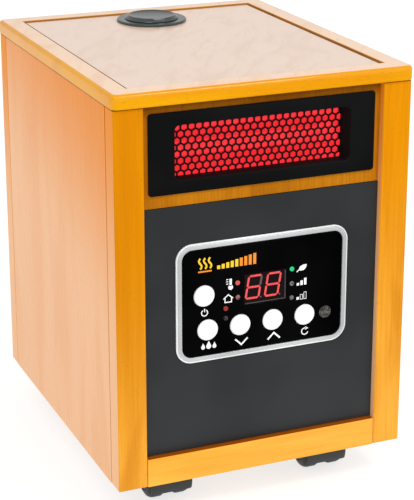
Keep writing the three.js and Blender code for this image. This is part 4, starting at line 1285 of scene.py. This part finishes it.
@dataclass
class ControlModule(Assembly):
    """The digital control module on the grey fascia.

    Attributes:
        ring_band: Width of the silver ring.
        ring_rake: How far its face falls back from its inside to its outside.
        ring_lip: Width of the lip round its outside, whose lighter silver is a painted highlight.
        ring_radius: Its outer corner radius.
        ring_bevel: Radius of its arrises.
        overlay_radius: Corner radius of the gloss overlay.
        overlay_margin: How much further out it runs than the CAD model's.
        overlay_thickness: Thickness of the overlay.
        button_play: Clearance round each button.
        rim: How much wider a button's hidden flange is than its cap.
        ink: Thickness of a printed film.
        lens: Radius of an indicator.
        digit: Width and height of a digit in millimetres.
        slant: How far a digit leans, for each unit of its height.
        digit_places_mm: The digits' middles, from the middle of the display.
        lit: The segments that are lit in each digit.
        indicators: The indicator lights.
    """

    title: str = "controls"
    ring_band: float = 5.2 * MM
    ring_rake: float = 1.2 * MM
    ring_lip: float = 1.4 * MM
    ring_radius: float = 15 * MM
    ring_bevel: float = 0.8 * MM
    overlay_radius: float = 9.6 * MM
    overlay_margin: float = 0.6 * MM
    overlay_thickness: float = 1.4 * MM
    button_play: float = 0.35 * MM
    rim: float = 1.5 * MM
    ink: float = 0.04 * MM
    lens: float = 2.1 * MM
    digit: Point = (12.4, 20.6)
    slant: float = 0.16
    digit_places_mm: tuple[Point, Point] = ((-11.2, 1.7), (7.3, 1.7))
    lit: tuple[str, str] = ("acdefg", "abcdefg")
    indicators: list[Indicator] = field(default_factory=lambda: [
        Indicator("set", (-24.8, 14.1), LED_RED),
        Indicator("room", (-24.6, 0.7), LED_ROSE),
        Indicator("mist_on", (-36.1, -8.4), LED_DIM_RED),
        Indicator("mist_low", (-36.1, -17.4), LED_DARK),
        Indicator("saving", (27.9, 19.6), LED_GREEN),
        Indicator("high_heat", (27.9, 5.9), LED_GREY),
        Indicator("low_heat", (27.9, -7.6), LED_GREY),
    ])
    buttons: tuple[str, ...] = ("power", "humidifier", "down", "up", "mode")

    def build(self) -> None:
        """Builds the module from the ring inwards."""
        self.centre = middle("control_frame")
        self.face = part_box("control_overlay")[0].y
        self.dress("front_fascia", FASCIA_GREY, 0.3 * MM)
        self.dress("control_board", CIRCUIT)
        self.dress("indicator_lenses", CLEAR)
        self.dress("display_module", SMOKED)
        self.ring()
        self.overlay()
        for name in self.buttons:
            self.button(f"button_{name}")
        for indicator in self.indicators:
            self.indicator(indicator)
        self.receiver()
        self.display()
        self.marks()

    def on_face(self, place_mm: Point = (0.0, 0.0)) -> Vector:
        """Returns a point on the overlay's face, given in millimetres from the module's middle."""
        return Vector((self.centre.x + place_mm[0] * MM, self.face, self.centre.z + place_mm[1] * MM))

    def ring(self) -> None:
        """Builds the silver ring: a flat band inside a raised lip, whose lighter silver is a painted
        highlight.
        """
        low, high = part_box("control_frame")
        size = Vector((high.x - low.x, high.z - low.z))
        lip = self.ring_lip
        band = self.round_frame(size, self.ring_radius, (lip, self.ring_band), (low.y + 0.15 * MM, high.y))
        piece = loft("control_ring", band, Drawn.FRONT, Vector((0, 0, self.centre.z)), hollow=True)
        self.add(piece, "cabinet", SILVER, "silver_trim", ["control_frame"])
        edge = self.round_frame(size, self.ring_radius, (0.0, lip), (low.y, high.y))
        piece = loft("control_ring_lip", edge, Drawn.FRONT, Vector((0, 0, self.centre.z)), hollow=True)
        self.add(piece, "cabinet", SILVER_LIP_PAINTED_HIGHLIGHT, "silver_trim")

    def round_frame(
        self,
        size: Vector,
        radius: float,
        band: tuple[float, float],
        depths: tuple[float, float],
    ) -> list[Section]:
        """Lays out the sections of a rounded frame whose front arrises are rounded.

        Args:
            size: Whole width and height of the ring that it belongs to.
            radius: That ring's outer corner radius.
            band: How far in from the ring's edge the frame starts and ends.
            depths: Its front and its back.

        Returns:
            The sections, round the frame's own cross-section.
        """
        start, end = band
        front, back = depths
        bevel = min(self.ring_bevel, 0.45 * (end - start))

        def section(inset: float, depth: float) -> Section:
            """Returns the ring's outline drawn in by an inset, at a depth behind the raked face."""
            raked = min(back, depth + self.ring_rake * (1 - inset / self.ring_band))
            return Section(rounded_box(size.x - 2 * inset, size.y - 2 * inset, radius - inset, 16), raked)

        sections = [section(start, back)]
        for turn in quarter(4):
            across, fall = bevel * (1 - math.cos(turn)), bevel * (1 - math.sin(turn))
            sections.append(section(start + across, front + fall))
        for turn in quarter(4):
            across, fall = bevel * (1 - math.sin(turn)), bevel * (1 - math.cos(turn))
            sections.append(section(end - across, front + fall))
        return [*sections, section(end, back)]

    def overlay(self) -> bpy.types.Object:
        """Cuts the gloss overlay with its holes and returns it."""
        low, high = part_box("control_overlay")
        extra = 2 * self.overlay_margin
        outer = rounded_box(high.x - low.x + extra, high.z - low.z + extra, self.overlay_radius, 12)
        holes = []
        for name in self.buttons:
            box_low, box_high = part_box(f"button_{name}")
            radius = (box_high.x - box_low.x) / 2 - self.rim + self.button_play
            place = middle(f"button_{name}") - self.centre
            holes.append(shifted(round_outline(radius, 40), place.x, place.z))
        for indicator in self.indicators:
            u, v = (c * MM for c in indicator.place_mm)
            holes.append(shifted(round_outline(self.lens + 0.25 * MM, 20), u, v))
        eye_low, eye_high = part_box("ir_receiver")
        eye = middle("ir_receiver") - self.centre
        holes.append(shifted(round_outline((eye_high.x - eye_low.x) / 2 + 0.2 * MM, 32), eye.x, eye.z))
        display_low, display_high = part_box("display_module")
        size = display_high - display_low
        window = middle("display_module") - self.centre
        opening = rounded_box(size.x + 0.5 * MM, size.z + 0.5 * MM, 0.6 * MM, 3)
        holes.append(shifted(opening, window.x, window.z))
        plate = plate_with_holes(
            "gloss_overlay", outer, holes, self.on_face(), self.overlay_thickness, 0.15 * MM
        )
        return self.add(plate, "cabinet", GLOSS_BLACK, "gloss_black", ["control_overlay"])

    def button(self, node: str) -> bpy.types.Object:
        """Turns one push button: domed cap, hidden flange and stem.

        Args:
            node: The button's CAD node, which is also its body.

        Returns:
            The button.
        """
        low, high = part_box(node)
        flange = (high.x - low.x) / 2
        cap = flange - self.rim
        shoulder = self.face + self.overlay_thickness + 0.4 * MM
        profile = [(0.2 * cap, low.y)]
        for share, fall in ((0.5, 0.05), (0.75, 0.17), (0.88, 0.34), (0.955, 0.62), (0.99, 1.0), (1.0, 1.5)):
            profile.append((cap * share, low.y + fall * MM))
        profile += [(cap, shoulder), (flange, shoulder), (flange, shoulder + 1.2 * MM)]
        profile += [(3 * MM, shoulder + 1.2 * MM), (3 * MM, high.y)]
        centre = Vector((middle(node).x, 0, middle(node).z))
        cap_piece = turned(node.replace("button_", "push_button_"), profile, Drawn.FRONT, centre)
        return self.add(cap_piece, node, BUTTON_WHITE, "white_plastic", [node])

    def indicator(self, indicator: Indicator) -> bpy.types.Object:
        """Adds the domed end of one indicator light and returns it."""
        centre = self.on_face(indicator.place_mm)
        curve = ((1.0, 0.4), (1.0, -0.22), (0.8, -0.38), (0.3, -0.48))
        profile = [(self.lens * share, depth * MM) for share, depth in curve]
        dome = turned(f"indicator_{indicator.name}", profile, Drawn.FRONT, centre, steps=24)
        return self.add(dome, "cabinet", indicator.finish, "clear_plastic")

    def receiver(self) -> bpy.types.Object:
        """Turns the remote control's dark eye and returns it."""
        low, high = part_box("ir_receiver")
        radius = (high.x - low.x) / 2
        curve = ((0.3, -0.25), (0.8, -0.12), (1.0, 0.2), (1.0, 3.5), (0.6, 3.5))
        profile = [(radius * share, low.y + depth * MM) for share, depth in curve]
        profile.append((radius * 0.6, high.y))
        centre = Vector((middle("ir_receiver").x, 0, middle("ir_receiver").z))
        eye = turned("receiver_eye", profile, Drawn.FRONT, centre, steps=40)
        return self.add(eye, "cabinet", DARK_EYE, "gloss_black", ["ir_receiver"])

    def segments(self) -> dict[str, Outline]:
        """Draws a digit's seven segments about its middle, in millimetres, before it leans.

        Returns:
            An outline for each segment, named a to g in the usual order.
        """
        width, height = self.digit
        stroke, nick = 1.9, 0.3
        half = height / 2

        def level(z: float) -> Outline:
            """Returns a level segment at a height."""
            reach, tip = width / 2 - nick, stroke / 2
            return [
                (-reach, z), (-reach + tip, z + tip), (reach - tip, z + tip),
                (reach, z), (reach - tip, z - tip), (-reach + tip, z - tip),
            ]

        def upright(x: float, low: float) -> Outline:
            """Returns an upright segment over half the digit's height."""
            base, top, tip = low + nick, low + half - nick, stroke / 2
            return [
                (x, base), (x + tip, base + tip), (x + tip, top - tip),
                (x, top), (x - tip, top - tip), (x - tip, base + tip),
            ]

        right, left = width / 2, -width / 2
        return {
            "a": level(half), "g": level(0), "d": level(-half),
            "b": upright(right, 0), "c": upright(right, -half),
            "f": upright(left, 0), "e": upright(left, -half),
        }

    def display(self) -> None:
        """Adds the lit and dark segments, the points and a painted highlight on the window's lower and right
        edges.
        """
        low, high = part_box("display_module")
        centre = Vector((middle("display_module").x, low.y, middle("display_module").z))
        bright, dark = [], []
        for (du, dv), lit in zip(self.digit_places_mm, self.lit):
            for name, outline in self.segments().items():
                leaning = [((u + self.slant * v + du) * MM, (v + dv) * MM) for u, v in outline]
                (bright if name in lit else dark).append(leaning)
            foot = -self.digit[1] / 2
            beside = du + self.digit[0] / 2 + self.slant * foot + 2.2
            point = shifted(round_outline(0.8, 16), beside, dv + foot)
            dark.append([(u * MM, v * MM) for u, v in point])
        on = printed("display_segments_lit", bright, centre, 0.06 * MM)
        self.add(on, "cabinet", SEGMENT_ON, "display_red")
        off = printed("display_segments_dark", dark, centre, 0.04 * MM)
        self.add(off, "cabinet", SEGMENT_OFF, "display_red")
        # A lighter strip along the window's lower and right edges is their painted highlight.
        half_width, half_height = (high.x - low.x) / 2 - 0.8 * MM, (high.z - low.z) / 2 - 0.8 * MM
        corner = [(-half_width, -half_height), (half_width, -half_height), (half_width, half_height)]
        edge = printed("display_window_edge", [ribbon(corner, 0.9 * MM)], centre, 0.05 * MM)
        self.add(edge, "cabinet", WINDOW_EDGE_PAINTED_HIGHLIGHT, "display_red")

    def marks(self) -> None:
        """Prints the module's marks: pictures, chevrons and a plain heat mark, with no words."""
        marks = Marks()
        white = {
            (-56.4, -9.4): marks.power(),
            (-52.4, -41.6): marks.drops(),
            (-20.9, -42.0): marks.chevron(-1),
            (10.9, -41.5): marks.chevron(1),
            (41.6, -42.0): marks.cycle(),
            (-31.6, 13.8): marks.thermometer(),
            (-33.8, 0.4): marks.house(),
            (38.2, 19.6): marks.leaf(),
            (37.6, 6.2): marks.bars(3),
            (37.6, -7.3): marks.bars(1),
        }
        amber: dict[Point, list[Outline]] = {}
        orange: dict[Point, list[Outline]] = {(-56.0, 29.2): [ribbon([(-6.4, 0), (6.4, 0)], 1.4)]}
        for i in range(3):
            amber[(-60.4 + 4.6 * i, 36.6)] = marks.heat_wave(10.0)
        for i in range(9):
            height = 3.4 + 0.85 * i
            bar = [(0, 0), (2.9, 0), (2.9, height), (0, height)]
            (amber if i < 5 else orange)[(-44.5 + 4.3 * i, 29.6)] = [bar]
        inks = (("marks_white", white, INK_WHITE), ("heat_mark_amber", amber, INK_AMBER))
        for name, placed, finish in (*inks, ("heat_mark_orange", orange, INK_ORANGE)):
            moved = [shifted(shape, *at) for at, shapes in placed.items() for shape in shapes]
            scaled = [[(u * MM, v * MM) for u, v in shape] for shape in moved]
            self.add(printed(name, scaled, self.on_face(), self.ink), "cabinet", finish, "white_plastic")


# ---------------------------------------------------------------- humidifier


@dataclass
class Humidifier(Assembly):
    """The cup in the top board and the dished cap that turns in it.

    Attributes:
        wall: Thickness of the cup.
        notch_half_deg: Half the angle of the mist notch.
        notch_fall: How far the cap's rim dips at the notch.
        plug: Radius of the cap's plug.
    """

    title: str = "humidifier"
    wall: float = 2 * MM
    notch_half_deg: float = 17.0
    notch_fall: float = 1.3 * MM
    plug: float = 25 * MM

    def build(self) -> None:
        """Builds the cup and the cap, and dresses what is under them."""
        self.cup()
        self.cap()
        self.dress("mist_disc", STEEL)
        self.dress("cup_cradle", WORKS_BLACK)

    def cup(self) -> bpy.types.Object:
        """Turns the water cup with its flange and returns it."""
        low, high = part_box("water_cup")
        centre = Vector((middle("water_cup").x, middle("water_cup").y, 0))
        flange = (high.x - low.x) / 2
        outer = flange - 6.8 * MM
        inner = outer - self.wall
        seat = high.z - 2.2 * MM
        profile = [
            (2 * MM, low.z), (outer - 2 * MM, low.z),
            (outer - 0.6 * MM, low.z + 0.6 * MM), (outer, low.z + 2 * MM),
            (outer, seat), (flange - 0.3 * MM, seat), (flange, seat + 0.3 * MM), (flange, seat + 0.9 * MM),
            (flange - 0.3 * MM, high.z - 0.4 * MM), (flange - 0.9 * MM, high.z), (flange - 1.5 * MM, high.z),
            (inner + 1.0 * MM, high.z), (inner + 0.4 * MM, high.z),
            (inner, high.z - 0.5 * MM), (inner, low.z + self.wall), (2 * MM, low.z + self.wall),
        ]
        cup = turned("humidifier_cup", profile, Drawn.PLAN, centre, steps=96)
        return self.add(cup, "water_cup", CAP_GREY, "cap_plastic", ["water_cup"])

    def cap(self) -> bpy.types.Object:
        """Turns the dished cap, dips its rim at the notch, and returns it."""
        low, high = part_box("mist_cap")
        centre = Vector((middle("mist_cap").x, middle("mist_cap").y, 0))
        crown = high.z
        seat = crown - 3.4 * MM
        skirt, rim = (high.x - low.x) / 2, 23.4 * MM
        inner = self.plug - 2.2 * MM
        under = seat + 0.3 * MM
        profile = [
            (2 * MM, under), (inner, under), (inner, low.z), (self.plug, low.z),
            (self.plug, seat), (skirt - 0.2 * MM, seat),
            (skirt, seat + 0.2 * MM), (skirt - 0.2 * MM, seat + 0.7 * MM),
            (skirt - 1.0 * MM, seat + 1.2 * MM), (rim + 0.7 * MM, crown - 1.1 * MM), (rim, crown - 0.3 * MM),
            (rim - 0.5 * MM, crown), (rim - 1.3 * MM, crown - 0.1 * MM), (rim - 2.2 * MM, crown - 0.6 * MM),
            (rim * 0.8, crown - 1.2 * MM), (rim * 0.6, crown - 1.7 * MM), (rim * 0.35, crown - 2.0 * MM),
            (2 * MM, crown - 2.2 * MM),
        ]
        cap = turned("dished_cap", profile, Drawn.PLAN, centre, steps=128)
        reach = math.radians(self.notch_half_deg)
        for vert in cap.data.vertices:
            arm = vert.co - centre
            turn = abs(math.atan2(arm.x, -arm.y))
            if turn < reach and arm.z > crown - 1.4 * MM and math.hypot(arm.x, arm.y) > rim * 0.7:
                edge = min(1.0, (reach - turn) / reach * 4)
                vert.co.z = max(vert.co.z - self.notch_fall * edge, crown - 1.8 * MM)
        return self.add(cap, "mist_cap", CAP_GREY, "cap_plastic", ["mist_cap"])


# ---------------------------------------------------------------- back and works


@dataclass
class Back(Assembly):
    """The back: panel, intake, filter and the cord's gland.

    Attributes:
        bore: Radius of the gland's bore.
        screw: Radius of a screw's head.
    """

    title: str = "back"
    bore: float = 4 * MM
    screw: float = 3.2 * MM

    def build(self) -> None:
        """Dresses the back and adds the gland and the screws."""
        self.dress("rear_panel", SIDE_VENEER, 0.3 * MM)
        self.dress("intake_grille", BEZEL_BLACK, 0.4 * MM)
        self.dress("filter_frame", WORKS_BLACK, 0.5 * MM)
        self.dress("filter_mesh", NET)
        self.gland()
        self.screws()

    def gland(self) -> bpy.types.Object:
        """Turns the cord's gland and returns it."""
        low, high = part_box("cord_gland")
        flange = (high.x - low.x) / 2
        neck = flange - 3.5 * MM
        lip = low.y + 9.3 * MM
        centre = Vector((middle("cord_gland").x, 0, middle("cord_gland").z))
        profile = [
            (self.bore, low.y), (neck, low.y), (neck, lip), (flange, lip), (flange, lip + 1.2 * MM),
            (flange - 0.8 * MM, lip + 2.4 * MM), (flange - 3.5 * MM, high.y - 1 * MM),
            (self.bore + 2 * MM, high.y), (self.bore + 0.5 * MM, high.y), (self.bore, high.y - 0.5 * MM),
        ]
        gland = turned("gland_bush", profile, Drawn.FRONT, centre, hollow=True, steps=48)
        return self.add(gland, "cabinet", WORKS_BLACK, "black_plastic", ["cord_gland"])

    def screws(self) -> None:
        """Adds the round screw heads that hold the rear panel, each with a slot."""
        low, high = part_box("rear_panel")
        inset = 9 * MM
        for name, x in (("left", low.x + inset), ("right", high.x - inset)):
            for level, z in (("low", low.z + inset), ("high", high.z - inset)):
                centre = Vector((x, high.y, z))
                profile = [(self.screw, 0.05 * MM), (self.screw, 0.6 * MM), (self.screw * 0.8, 1.3 * MM)]
                profile += [(self.screw * 0.4, 1.6 * MM), (self.screw * 0.32, 0.9 * MM)]
                head = turned(f"rear_screw_{name}_{level}", profile, Drawn.FRONT, centre, steps=32)
                self.add(head, "cabinet", STEEL, "steel")


@dataclass
class Works(Assembly):
    """What is inside: blower, heating element and electrics."""

    title: str = "works"

    def build(self) -> None:
        """Dresses each inner node in its own finish."""
        finishes = {
            "blower_scroll": WORKS_BLACK,
            "blower_wheel": CASTER_GREY,
            "blower_motor": MOTOR_PAINT,
            "ptc_strip": CERAMIC,
            "ptc_fins_lower": ALUMINIUM,
            "ptc_fins_upper": ALUMINIUM,
            "thermal_cutout": MOTOR_PAINT,
            "power_board": CIRCUIT,
            "tip_over_switch": WORKS_BLACK,
        }
        for node, finish in finishes.items():
            self.dress(node, finish)


# ---------------------------------------------------------------- casters


@dataclass
class Casters(Assembly):
    """Four twin-wheel swivel casters.

    Attributes:
        gap: Clear width between a caster's two wheels.
        play: Clearance between the hood's web and each wheel.
        axle: Radius of the axle.
        hub: Radius of the dished hub cap.
        hood: Inner and outer radius of the hood, from the axle.
        hood_sweep_deg: Where the hood starts and ends round the axle, from +Y over the top.
        shoulder: Length over which the hood rounds down at each side, and how far it falls there.
        trail: Distance from the swivel axis to the axle.
        boss: Radius of the swivel collar.
        collar: Its height.
    """

    title: str = "casters"
    gap: float = 13 * MM
    play: float = 0.8 * MM
    axle: float = 3 * MM
    hub: float = 11 * MM
    hood: Point = (20.2 * MM, 22 * MM)
    hood_sweep_deg: Point = (28.8, 203.0)
    shoulder: Point = (5 * MM, 1.3 * MM)
    trail: float = 13 * MM
    boss: float = 9 * MM
    collar: float = 5 * MM

    def build(self) -> None:
        """Dresses the plates and builds the hoods and wheels at the four corners."""
        for end in ("front", "rear"):
            for side in ("left", "right"):
                place = f"{end}_{side}"
                self.dress(f"{place}_caster_plate", STEEL)
                self.cover(place)
                self.web(place)
                self.wheels(place)

    def axle_middle(self, place: str) -> Vector:
        """Returns the middle of a caster's axle."""
        return middle(f"{place}_caster_wheels")

    def cover(self, place: str) -> bpy.types.Object:
        """Bends the hood over both wheels, its sides rounded down, and returns it.

        Args:
            place: Which corner the caster is at.

        Returns:
            The cover.
        """
        low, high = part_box(f"{place}_caster_hood")
        half = (high.x - low.x) / 2
        inner, outer = self.hood
        length, fall = self.shoulder
        edge = [(half - length * (1 - math.sin(t)), fall * (1 - math.cos(t))) for t in quarter(5)]
        stations = [(-x, drop) for x, drop in reversed(edge)] + edge
        sections = []
        for x, drop in stations:
            over = arc(outer - drop, *self.hood_sweep_deg, steps=40)
            under = arc(inner, *self.hood_sweep_deg, steps=40)
            sections.append(Section(over + under[::-1], x))
        hood = loft(f"{place}_hood_cover", sections, Drawn.SIDE, self.axle_middle(place))
        return self.add(hood, f"{place}_caster", CASTER_GREY, "caster_plastic", [f"{place}_caster_hood"])

    def web(self, place: str) -> None:
        """Builds the web between the wheels and the swivel collar on top of it.

        Args:
            place: Which corner the caster is at.
        """
        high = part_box(f"{place}_caster_hood")[1]
        axle = self.axle_middle(place)
        rise = high.z - axle.z
        front = -self.hood[0] - 0.4 * MM
        outline = arc(self.hub + 1 * MM, 180, 300)
        outline += [(self.trail, 2 * MM), (self.trail + self.boss, rise - self.collar)]
        outline += [(self.trail + self.boss, rise - 1 * MM), (0, rise - 1 * MM), (front * 0.8, -front * 0.6)]
        outline.append((front, 0))
        thick = self.gap / 2 - self.play
        edges = [(-thick, 0.6 * MM), (0.6 * MM - thick, 0), (thick - 0.6 * MM, 0), (thick, 0.6 * MM)]
        sections = [Section([(u * (1 - d * 30), v * (1 - d * 30)) for u, v in outline], x) for x, d in edges]
        web = loft(f"{place}_hood_web", sections, Drawn.SIDE, axle)
        self.add(web, f"{place}_caster", CASTER_GREY, "caster_plastic")
        base = rise - self.collar
        profile = [(1 * MM, base), (self.boss - 0.5 * MM, base), (self.boss, base + 0.5 * MM)]
        profile += [(self.boss, rise - 0.4 * MM), (self.boss - 0.4 * MM, rise), (1 * MM, rise)]
        pivot = axle + Vector((0, self.trail, 0))
        collar = turned(f"{place}_swivel_collar", profile, Drawn.PLAN, pivot, steps=40)
        self.add(collar, f"{place}_caster", CASTER_GREY, "caster_plastic")

    def wheels(self, place: str) -> None:
        """Turns both wheels of a caster with the axle between them, and their hub caps.

        Args:
            place: Which corner the caster is at.
        """
        node = f"{place}_caster_wheels"
        low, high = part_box(node)
        radius = (high.z - low.z) / 2
        inner, outer = self.gap / 2, (high.x - low.x) / 2
        hub = self.hub
        half = [
            (self.axle, 0.0), (self.axle, inner),
            (radius - 1.5 * MM, inner), (radius - 0.4 * MM, inner + 0.5 * MM),
            (radius, inner + 1.5 * MM), (radius, outer - 6 * MM), (radius - 0.5 * MM, outer - 4 * MM),
            (radius - 1.8 * MM, outer - 2.2 * MM), (radius - 4.6 * MM, outer - 0.5 * MM),
            (hub + 0.8 * MM, outer),
            (hub, outer - 0.8 * MM), (1 * MM, outer - 0.8 * MM),
        ]
        profile = [(r, -x) for r, x in reversed(half)] + half[1:]
        pair = turned(f"{place}_twin_wheels", profile, Drawn.SIDE, middle(node), steps=72)
        self.add(pair, f"{place}_wheels", TYRE_BLACK, "caster_plastic", [node])
        for name, way in (("left", -1), ("right", 1)):
            dish = [(1 * MM, way * (outer - 0.1 * MM)), (hub * 0.45, way * (outer - 0.2 * MM))]
            dish += [(hub * 0.6, way * (outer - 0.6 * MM)), (hub - 1.2 * MM, way * (outer - 0.7 * MM))]
            dish += [(hub - 0.6 * MM, way * (outer - 0.3 * MM)), (hub - 0.3 * MM, way * (outer - 0.9 * MM))]
            cap = turned(f"{place}_hub_cap_{name}", dish, Drawn.SIDE, middle(node), steps=48)
            self.add(cap, f"{place}_wheels", CASTER_GREY, "caster_plastic")


# ---------------------------------------------------------------- studio


@dataclass
class Studio:
    """Pale floor, soft light and the camera.

    Attributes:
        azimuth_deg: Where the camera stands, to the left of straight ahead.
        elevation_deg: How high it looks down from.
        distance: Camera to target.
        target: The point that it looks at.
        lens_mm: Its focal length on a 36 mm sensor.
        shift: Its vertical shift.
        floor_half: Half the width of the floor.
        daylight: Strength of the light all round.
    """

    azimuth_deg: float = 22.78
    elevation_deg: float = 18.17
    distance: float = 1.615
    target: tuple[float, float, float] = (0.0114, -0.0048, 0.2307)
    lens_mm: float = 120.5
    shift: float = -0.08
    floor_half: float = 6.0
    daylight: float = 0.78

    def build(self) -> None:
        """Sets the floor, the lights and the camera."""
        self.floor()
        self.sky()
        self.softbox("key_softbox", (-1.6, -2.4, 2.6), 29.0, 1.8)
        self.softbox("fill_softbox", (2.2, -1.6, 1.6), 2.0, 1.6)
        self.softbox("edge_softbox", (1.0, -1.78, 2.66), 23.0, 0.8, 0.5)
        self.flag()
        self.camera()
        bpy.context.scene.view_settings.view_transform = "Standard"
        bpy.context.scene.view_settings.look = "None"

    def slab(self, name: str, corners: Sequence[tuple[float, float, float]]) -> bpy.types.Object:
        """Makes a flat sheet between corners, links it to the scene and returns it."""
        mesh = bpy.data.meshes.new(name)
        mesh.from_pydata(corners, [], [tuple(range(len(corners)))])
        sheet = bpy.data.objects.new(name, mesh)
        bpy.context.scene.collection.objects.link(sheet)
        return sheet

    def floor(self) -> None:
        """Lays the plain pale floor."""
        half = self.floor_half
        corners = [(-half, -half, 0), (half, -half, 0), (half, half, 0), (-half, half, 0)]
        floor = self.slab("studio_floor", corners)
        paint = Sheet("studio_floor_paint")
        cloud = paint.noise(Vector((2, 2, 2)), detail=2)
        paint.coloured(paint.mixed(cloud, (0.36, 0.36, 0.36), (0.34, 0.34, 0.34)))
        paint.fixed(Roughness=0.9, Specular_IOR_Level=0.1)
        paint.fixed(Emission_Color=(1.0, 1.0, 1.0), Emission_Strength=0.74)
        floor.data.materials.append(paint.material)

    def flag(self) -> None:
        """Stands a dark flag low in front, which only the polished faces see."""
        left, right, near, far, lift = -1.6, 2.4, -3.2, -0.32, 0.002
        corners = [(left, near, lift), (right, near, lift), (right, far, lift), (left, far, lift)]
        flag = self.slab("studio_flag", corners)
        felt = Sheet("studio_flag_felt")
        nap = felt.noise(even(40))
        felt.coloured(felt.mixed(nap, (0.012, 0.012, 0.012), (0.02, 0.02, 0.02)))
        felt.fixed(Roughness=1.0, Specular_IOR_Level=0.0)
        flag.data.materials.append(felt.material)
        flag.visible_camera = False
        flag.visible_diffuse = False
        flag.visible_shadow = False
        flag.visible_transmission = False

    def sky(self) -> None:
        """Fills the room with even white light."""
        world = bpy.data.worlds.new("studio_room")
        world.use_nodes = True
        background = world.node_tree.nodes["Background"]
        background.inputs["Color"].default_value = (1.0, 1.0, 1.0, 1.0)
        background.inputs["Strength"].default_value = self.daylight
        bpy.context.scene.world = world

    def softbox(
        self, name: str, place: tuple[float, float, float], power: float, width: float,
        height: float | None = None,
    ) -> None:
        """Hangs a softbox that faces the heater.

        Args:
            name: The light's name.
            place: Where it hangs.
            power: Its power in watts.
            width: How wide it is.
            height: How tall it is, or None for a square one.
        """
        light = bpy.data.lights.new(name, "AREA")
        light.shape = "RECTANGLE"
        light.energy = power
        light.size, light.size_y = width, height or width
        lamp = bpy.data.objects.new(name, light)
        lamp.location = place
        aim = Vector(self.target) - Vector(place)
        lamp.rotation_mode = "QUATERNION"
        lamp.rotation_quaternion = aim.to_track_quat("-Z", "Y")
        bpy.context.scene.collection.objects.link(lamp)

    def camera(self) -> None:
        """Stands the camera to the heater's front left, looking slightly down."""
        azimuth, elevation = math.radians(-self.azimuth_deg), math.radians(self.elevation_deg)
        back = Vector((
            math.sin(azimuth) * math.cos(elevation),
            -math.cos(azimuth) * math.cos(elevation),
            math.sin(elevation),
        ))
        lens = bpy.data.cameras.new("studio_camera")
        lens.lens = self.lens_mm
        lens.sensor_width = 36.0
        lens.shift_y = self.shift
        lens.clip_start, lens.clip_end = 0.05, 30.0
        camera = bpy.data.objects.new("studio_camera", lens)
        camera.location = Vector(self.target) + back * self.distance
        camera.rotation_mode = "QUATERNION"
        camera.rotation_quaternion = (-back).to_track_quat("-Z", "Y")
        bpy.context.scene.collection.objects.link(camera)
        bpy.context.scene.camera = camera


# ---------------------------------------------------------------- the whole scene


def main() -> None:
    """Builds the studio and then each sub-assembly in order."""
    logging.basicConfig(level=logging.INFO, format="%(message)s")
    Studio().build()
    assemblies: list[Assembly] = [
        Cabinet(), Outlet(), ControlModule(), Humidifier(), Back(), Works(), Casters(),
    ]
    for assembly in assemblies:
        assembly.build()


if __name__ == "__main__":
    main()
